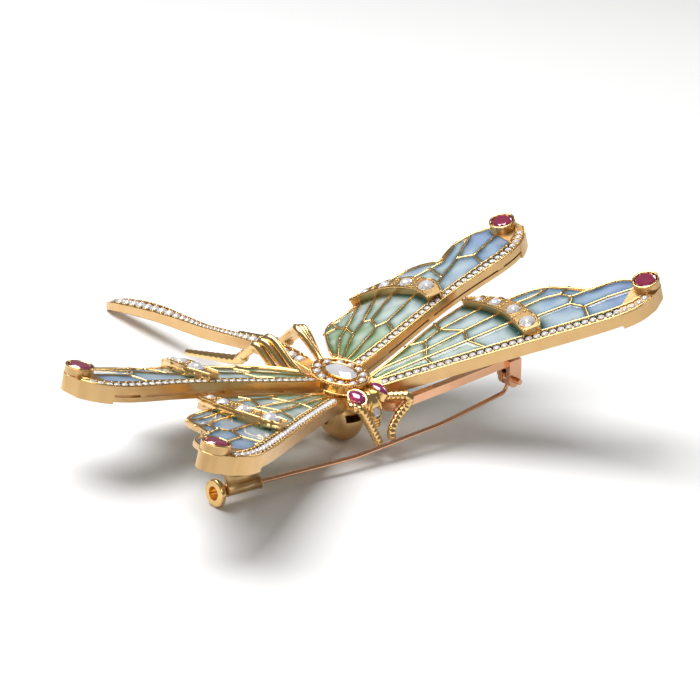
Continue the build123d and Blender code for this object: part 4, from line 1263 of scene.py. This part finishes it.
circle = oval(1, 1, 0, 32)
face = [
    wire(on_plane(face_place, face_axes, circle * (FACE_STONE["radius"] + 0.14) + [0, 0, 0.12]), 0.14,
         up=face_axes[2], closed=True),
    grains(on_plane(face_place, face_axes, oval(0.9, 0.9, 0.22, 4, start=0.5)), 0.17),
]
face += [wire(face_ring(height, 0.02), 0.15, closed=True) for height in (-5.0, -5.45, -5.9, -6.3)]
for sign in (1, -1):
    ridge = np.array([
        [0.35, -6.6, -0.95], [0.42, -7.7, -0.98], [0.6, -8.75, -1.7],
        [0.95, -9.15, -2.9], [1.05, -9.2, -4.2], [0.75, -9.5, -5.2],
    ]) * [sign, 1, 1]
    face.append(wire(curve_through(ridge, 30), 0.2, up=(0, -0.6, 0.8)))
piece = add_piece("face_ridges", face, [bright_gold])

# %% [markdown]
# The legs are cast bars. The front pair is squarish with cut bands, so the radius swells and shrinks
# along the bar: r(s) = r (1 + depth cos(2 pi s / pitch)). A thigh of the hind pair is three
# round ribs side by side, and its long foot tapers and carries shallow cuts.

# %% Legs
FRONT_LEGS = {
    1: [
        (2.4, -6.9, -2.9), (4.6, -8.9, -2.5), (6.0, -10.5, -2.5), (5.7, -10.3, -4.0),
        (3.9, -10.1, -5.6), (2.4, -10.4, -7.2), (1.9, -10.9, -8.7),
    ],
    -1: [
        (-3.4, -6.4, -2.3), (-4.6, -8.2, -1.9), (-3.9, -9.8, -2.0), (-2.7, -10.2, -4.2),
        (-1.7, -10.6, -6.5), (-1.0, -11.1, -8.6),
    ],
}
HIND_RIBS = [
    [(1.9, 3.6, -4.5), (4.2, 9.9, -3.4), (5.2, 15.3, 0.55), (5.4, 17.2, -0.6), (5.3, 21.2, -4.0)],
    [(1.4, 3.8, -4.2), (3.4, 9.1, -2.5), (4.0, 14.7, 1.1), (4.5, 16.8, 0.0), (4.9, 21.4, -3.8)],
    [(0.9, 4.0, -3.9), (2.7, 8.4, -1.7), (2.8, 14.2, 1.6), (3.6, 16.6, 0.5), (4.5, 21.6, -3.7)],
]
RIB_RADIUS = 0.62
RIB_SWELL = 0.12
HIND_FOOT = [(4.9, 19.4, -2.6), (5.1, 21.4, -4.0), (5.4, 26.5, -5.3), (5.9, 34.6, -7.2)]


def banded(path, thick, thin, pitch, depth, up, corners=0.0, flat=1.0, sides=14):
    """A tapering bar with bands at an even pitch along its length."""
    length = np.concatenate([[0], np.cumsum(np.linalg.norm(np.diff(path, axis=0), axis=1))])
    share = length / length[-1]
    radius = (thick + (thin - thick) * share) * (1 + depth * np.cos(2 * np.pi * length / pitch))
    return wire(path, radius, up, sides, corners=corners, flat=flat)


for side, sign in SIDES.items():
    line = curve_through(FRONT_LEGS[sign], 110)
    leg = banded(line, 0.78, 0.74, 0.8, 0.07, (sign, 0.3, -0.3), corners=0.07)
    piece = add_piece(f"banded_leg_{side}", [leg], [bright_gold])
    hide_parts(f"front_leg_{side}")
    ribs = []
    for path in HIND_RIBS:
        swell = RIB_RADIUS + RIB_SWELL * np.sin(np.linspace(0, np.pi, 60))
        ribs.append(wire(curve_through(path, 60), swell, (1, 0.2, 0), 12, corners=0.1))
    foot_line = curve_through(HIND_FOOT, 90)
    ribs.append(banded(foot_line, 0.95, 0.55, 1.5, 0.05, (1, 0, 0), corners=0.06, flat=1.05))
    piece = add_piece(f"ribbed_leg_{side}", ribs, [bright_gold], sign)
    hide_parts(f"hind_leg_{side}")

# %% [markdown]
# The tail carries one row of diamonds that follow its width, two grains between neighbours,
# and a thin rim along both edges. The place of each stone depends on the size of the one before it,
# so the row is walked from the end towards the body.

# %% Tail
TAIL = np.array([
    [5.0, -1.95, 1.1], [11.5, -1.3, 1.5], [18.0, -1.6, 1.7], [24.0, -2.4, 1.25], [30.0, -3.6, 0.9],
    [37.0, -4.85, 0.78], [44.0, -5.6, 1.05], [50.5, -6.35, 1.6], [57.0, -7.5, 1.8], [62.5, -8.8, 1.6],
    [66.0, -10.0, 1.0], [66.9, -10.75, 0.45],
])
TAIL_STONES = (10.3, 62.9)
TAIL_GAP = 0.16
TAIL_BED_DEPTH = 0.62


def tail_rows(places):
    """Top height and half width of the tail at places along it."""
    return np.interp(places, TAIL[:, 0], TAIL[:, 1]), np.interp(places, TAIL[:, 0], TAIL[:, 2])


def tail_row():
    """Places and radii of the stones, walked from the end of the tail."""
    places, radii = [], []
    at = TAIL_STONES[1]
    while at > TAIL_STONES[0]:
        radius = min(float(tail_rows(at)[1]) - 0.36, 1.0)
        places.append(at)
        radii.append(radius)
        at -= 2 * radius + TAIL_GAP
    return np.array(places), np.array(radii)


def tail_field():
    """Stones, grains and bed of the tail."""
    places, radii = tail_row()
    top, half = tail_rows(places)
    slope = np.gradient(top, places)
    normals = unit(np.column_stack([np.zeros_like(slope), -slope, np.ones_like(slope)]))
    centres = np.column_stack([np.zeros_like(top), places, top - 0.06])
    level = np.broadcast_to([1.0, 0, 0], centres.shape)
    axes = np.stack([level, np.cross(normals, level), normals], 1)
    stones = set_stones(OLD_CUT, centres, axes, radii)
    between = places[1:] + (places[:-1] - places[1:]) * radii[1:] / (radii[1:] + radii[:-1])
    bead_top, bead_half = tail_rows(between)
    beads = []
    for sign in (1, -1):
        spots = np.column_stack([sign * (bead_half - 0.42), between, bead_top + 0.02])
        beads.append(grains(spots, np.clip(0.34 * (bead_half - 0.3), 0.12, 0.36), 1))
    along = np.linspace(9.6, 63.9, 70)
    bed_top, bed_half = tail_rows(along)
    middle = np.column_stack([np.zeros(70), along, bed_top - TAIL_BED_DEPTH])
    points, faces, tag = wire(middle, bed_half - 0.24, (0, 0, 1), 12, tag=1)
    level = np.interp(points[:, 1], along, bed_top - TAIL_BED_DEPTH)
    points[:, 2] = level + np.clip(points[:, 2] - level, -0.3, 0.3)
    return [stones, (points, faces, tag)] + beads


def tail_rims():
    """A rim along both top edges, meeting at the end."""
    along = np.concatenate([np.linspace(6, 64, 80), np.linspace(64.4, 66.8, 10)])
    top, half = tail_rows(along)
    right = np.column_stack([half - 0.12, along, top - 0.02])
    left = right[::-1] * [-1, 1, 1]
    return [wire(np.vstack([right, left]), 0.14, (0, 0, 1), 8)]


piece = add_piece("tail_stones", tail_field(), [diamond, bright_gold], smooth=[False, True])
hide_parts("tail_pave")
piece = add_piece("tail_rims", tail_rims(), [bright_gold])
print("tail stones", len(tail_row()[0]))

# %% [markdown]
# The bar behind the left wing is hidden for most of its length. It leaves the core, runs close under
# the wing and ends in a thin plate, and the plate carries the tube that the sleeve of the catch slides in.
# The tube is a ring carried along a line, with a second, inner ring for its bore.

# %% Catch bar
CATCH_BAR = [
    (-2.6, -1.5, -4.9), (-7.5, -3.6, -4.3), (-14.0, -7.4, -3.9), (-22.0, -10.2, -3.2), (-28.2, -12.0, -3.4),
]
CATCH_BAR_RADIUS = 0.62
CATCH_PLATE = [(-27.0, -3.6), (-29.2, -2.3), (-33.4, -1.7), (-33.2, -6.0), (-27.2, -6.6)]
PLATE_HALF = 0.35
CATCH_TUBE = {"start": -26.8, "length": 6.7, "radius": 1.02, "bore": 0.72, "knob": 2.27}
LIP = {"inset": 0.1, "radius": 0.98, "thickness": 0.12, "count": 40}
PIN_PLANE = -12.0
TABLE_HEIGHT = -12.0


def catch_axis(along):
    """Points on the axis of the tube: level with the table, a knob's radius above it."""
    along = np.asarray(along, float)
    x = CATCH_TUBE["start"] - along * math.cos(LEAN)
    z = TABLE_HEIGHT - math.tan(LEAN) * x + CATCH_TUBE["knob"] / math.cos(LEAN)
    return np.column_stack([x, np.full(len(x), PIN_PLANE), z])


def tube(places, outer, inner, sides=40):
    """A ring section (outer then inner circle) carried along a line and closed at both ends."""
    direction = unit(places[-1] - places[0])
    side = np.array([0.0, 1, 0])
    normal = np.cross(direction, side)
    angle = 2 * np.pi * np.arange(sides) / sides
    ring = np.cos(angle)[:, None] * side + np.sin(angle)[:, None] * normal
    walk = ((places[0], outer), (places[-1], outer), (places[-1], inner), (places[0], inner))
    sections = [place + radius * ring for place, radius in walk]
    k = np.arange(sides)
    after = (k + 1) % sides
    faces = []
    for row in range(4):
        a, b = row * sides, (row + 1) % 4 * sides
        faces += np.column_stack([a + k, a + after, b + after, b + k]).tolist()
    return np.vstack(sections), [tuple(face) for face in faces], 0


def plate_part(corners, half):
    """An upright plate: the outline in the plane of the pin, moved half its thickness to each side."""
    count = len(corners)
    flat = np.array([(x, PIN_PLANE, z) for x, z in corners])
    points = np.vstack([flat - [0, half, 0], flat + [0, half, 0]])
    k = np.arange(count)
    walls = np.column_stack([k, k + count, (k + 1) % count + count, (k + 1) % count]).tolist()
    faces = [tuple(face) for face in walls]
    faces += [tuple(range(count)), tuple(range(2 * count - 1, count - 1, -1))]
    return points, faces, 0


def lip(at):
    """A thin ring round the tube at a distance along it."""
    angle = np.linspace(0, 2 * np.pi, LIP["count"], endpoint=False)
    ring = np.column_stack([np.zeros(LIP["count"]), np.cos(angle), np.sin(angle)])
    return wire(catch_axis([at])[0] + LIP["radius"] * ring, LIP["thickness"], (1, 0, 0), 8, closed=True)


bar = wire(curve_through(CATCH_BAR, 60), CATCH_BAR_RADIUS, (0, 0, 1), 12, corners=0.1)
barrel = tube(catch_axis([0, CATCH_TUBE["length"]]), CATCH_TUBE["radius"], CATCH_TUBE["bore"])
lips = [lip(LIP["inset"]), lip(CATCH_TUBE["length"] - LIP["inset"])]
piece = add_piece("catch_bar", [bar, plate_part(CATCH_PLATE, PLATE_HALF), barrel] + lips, [satin_gold])
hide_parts("catch_arm")
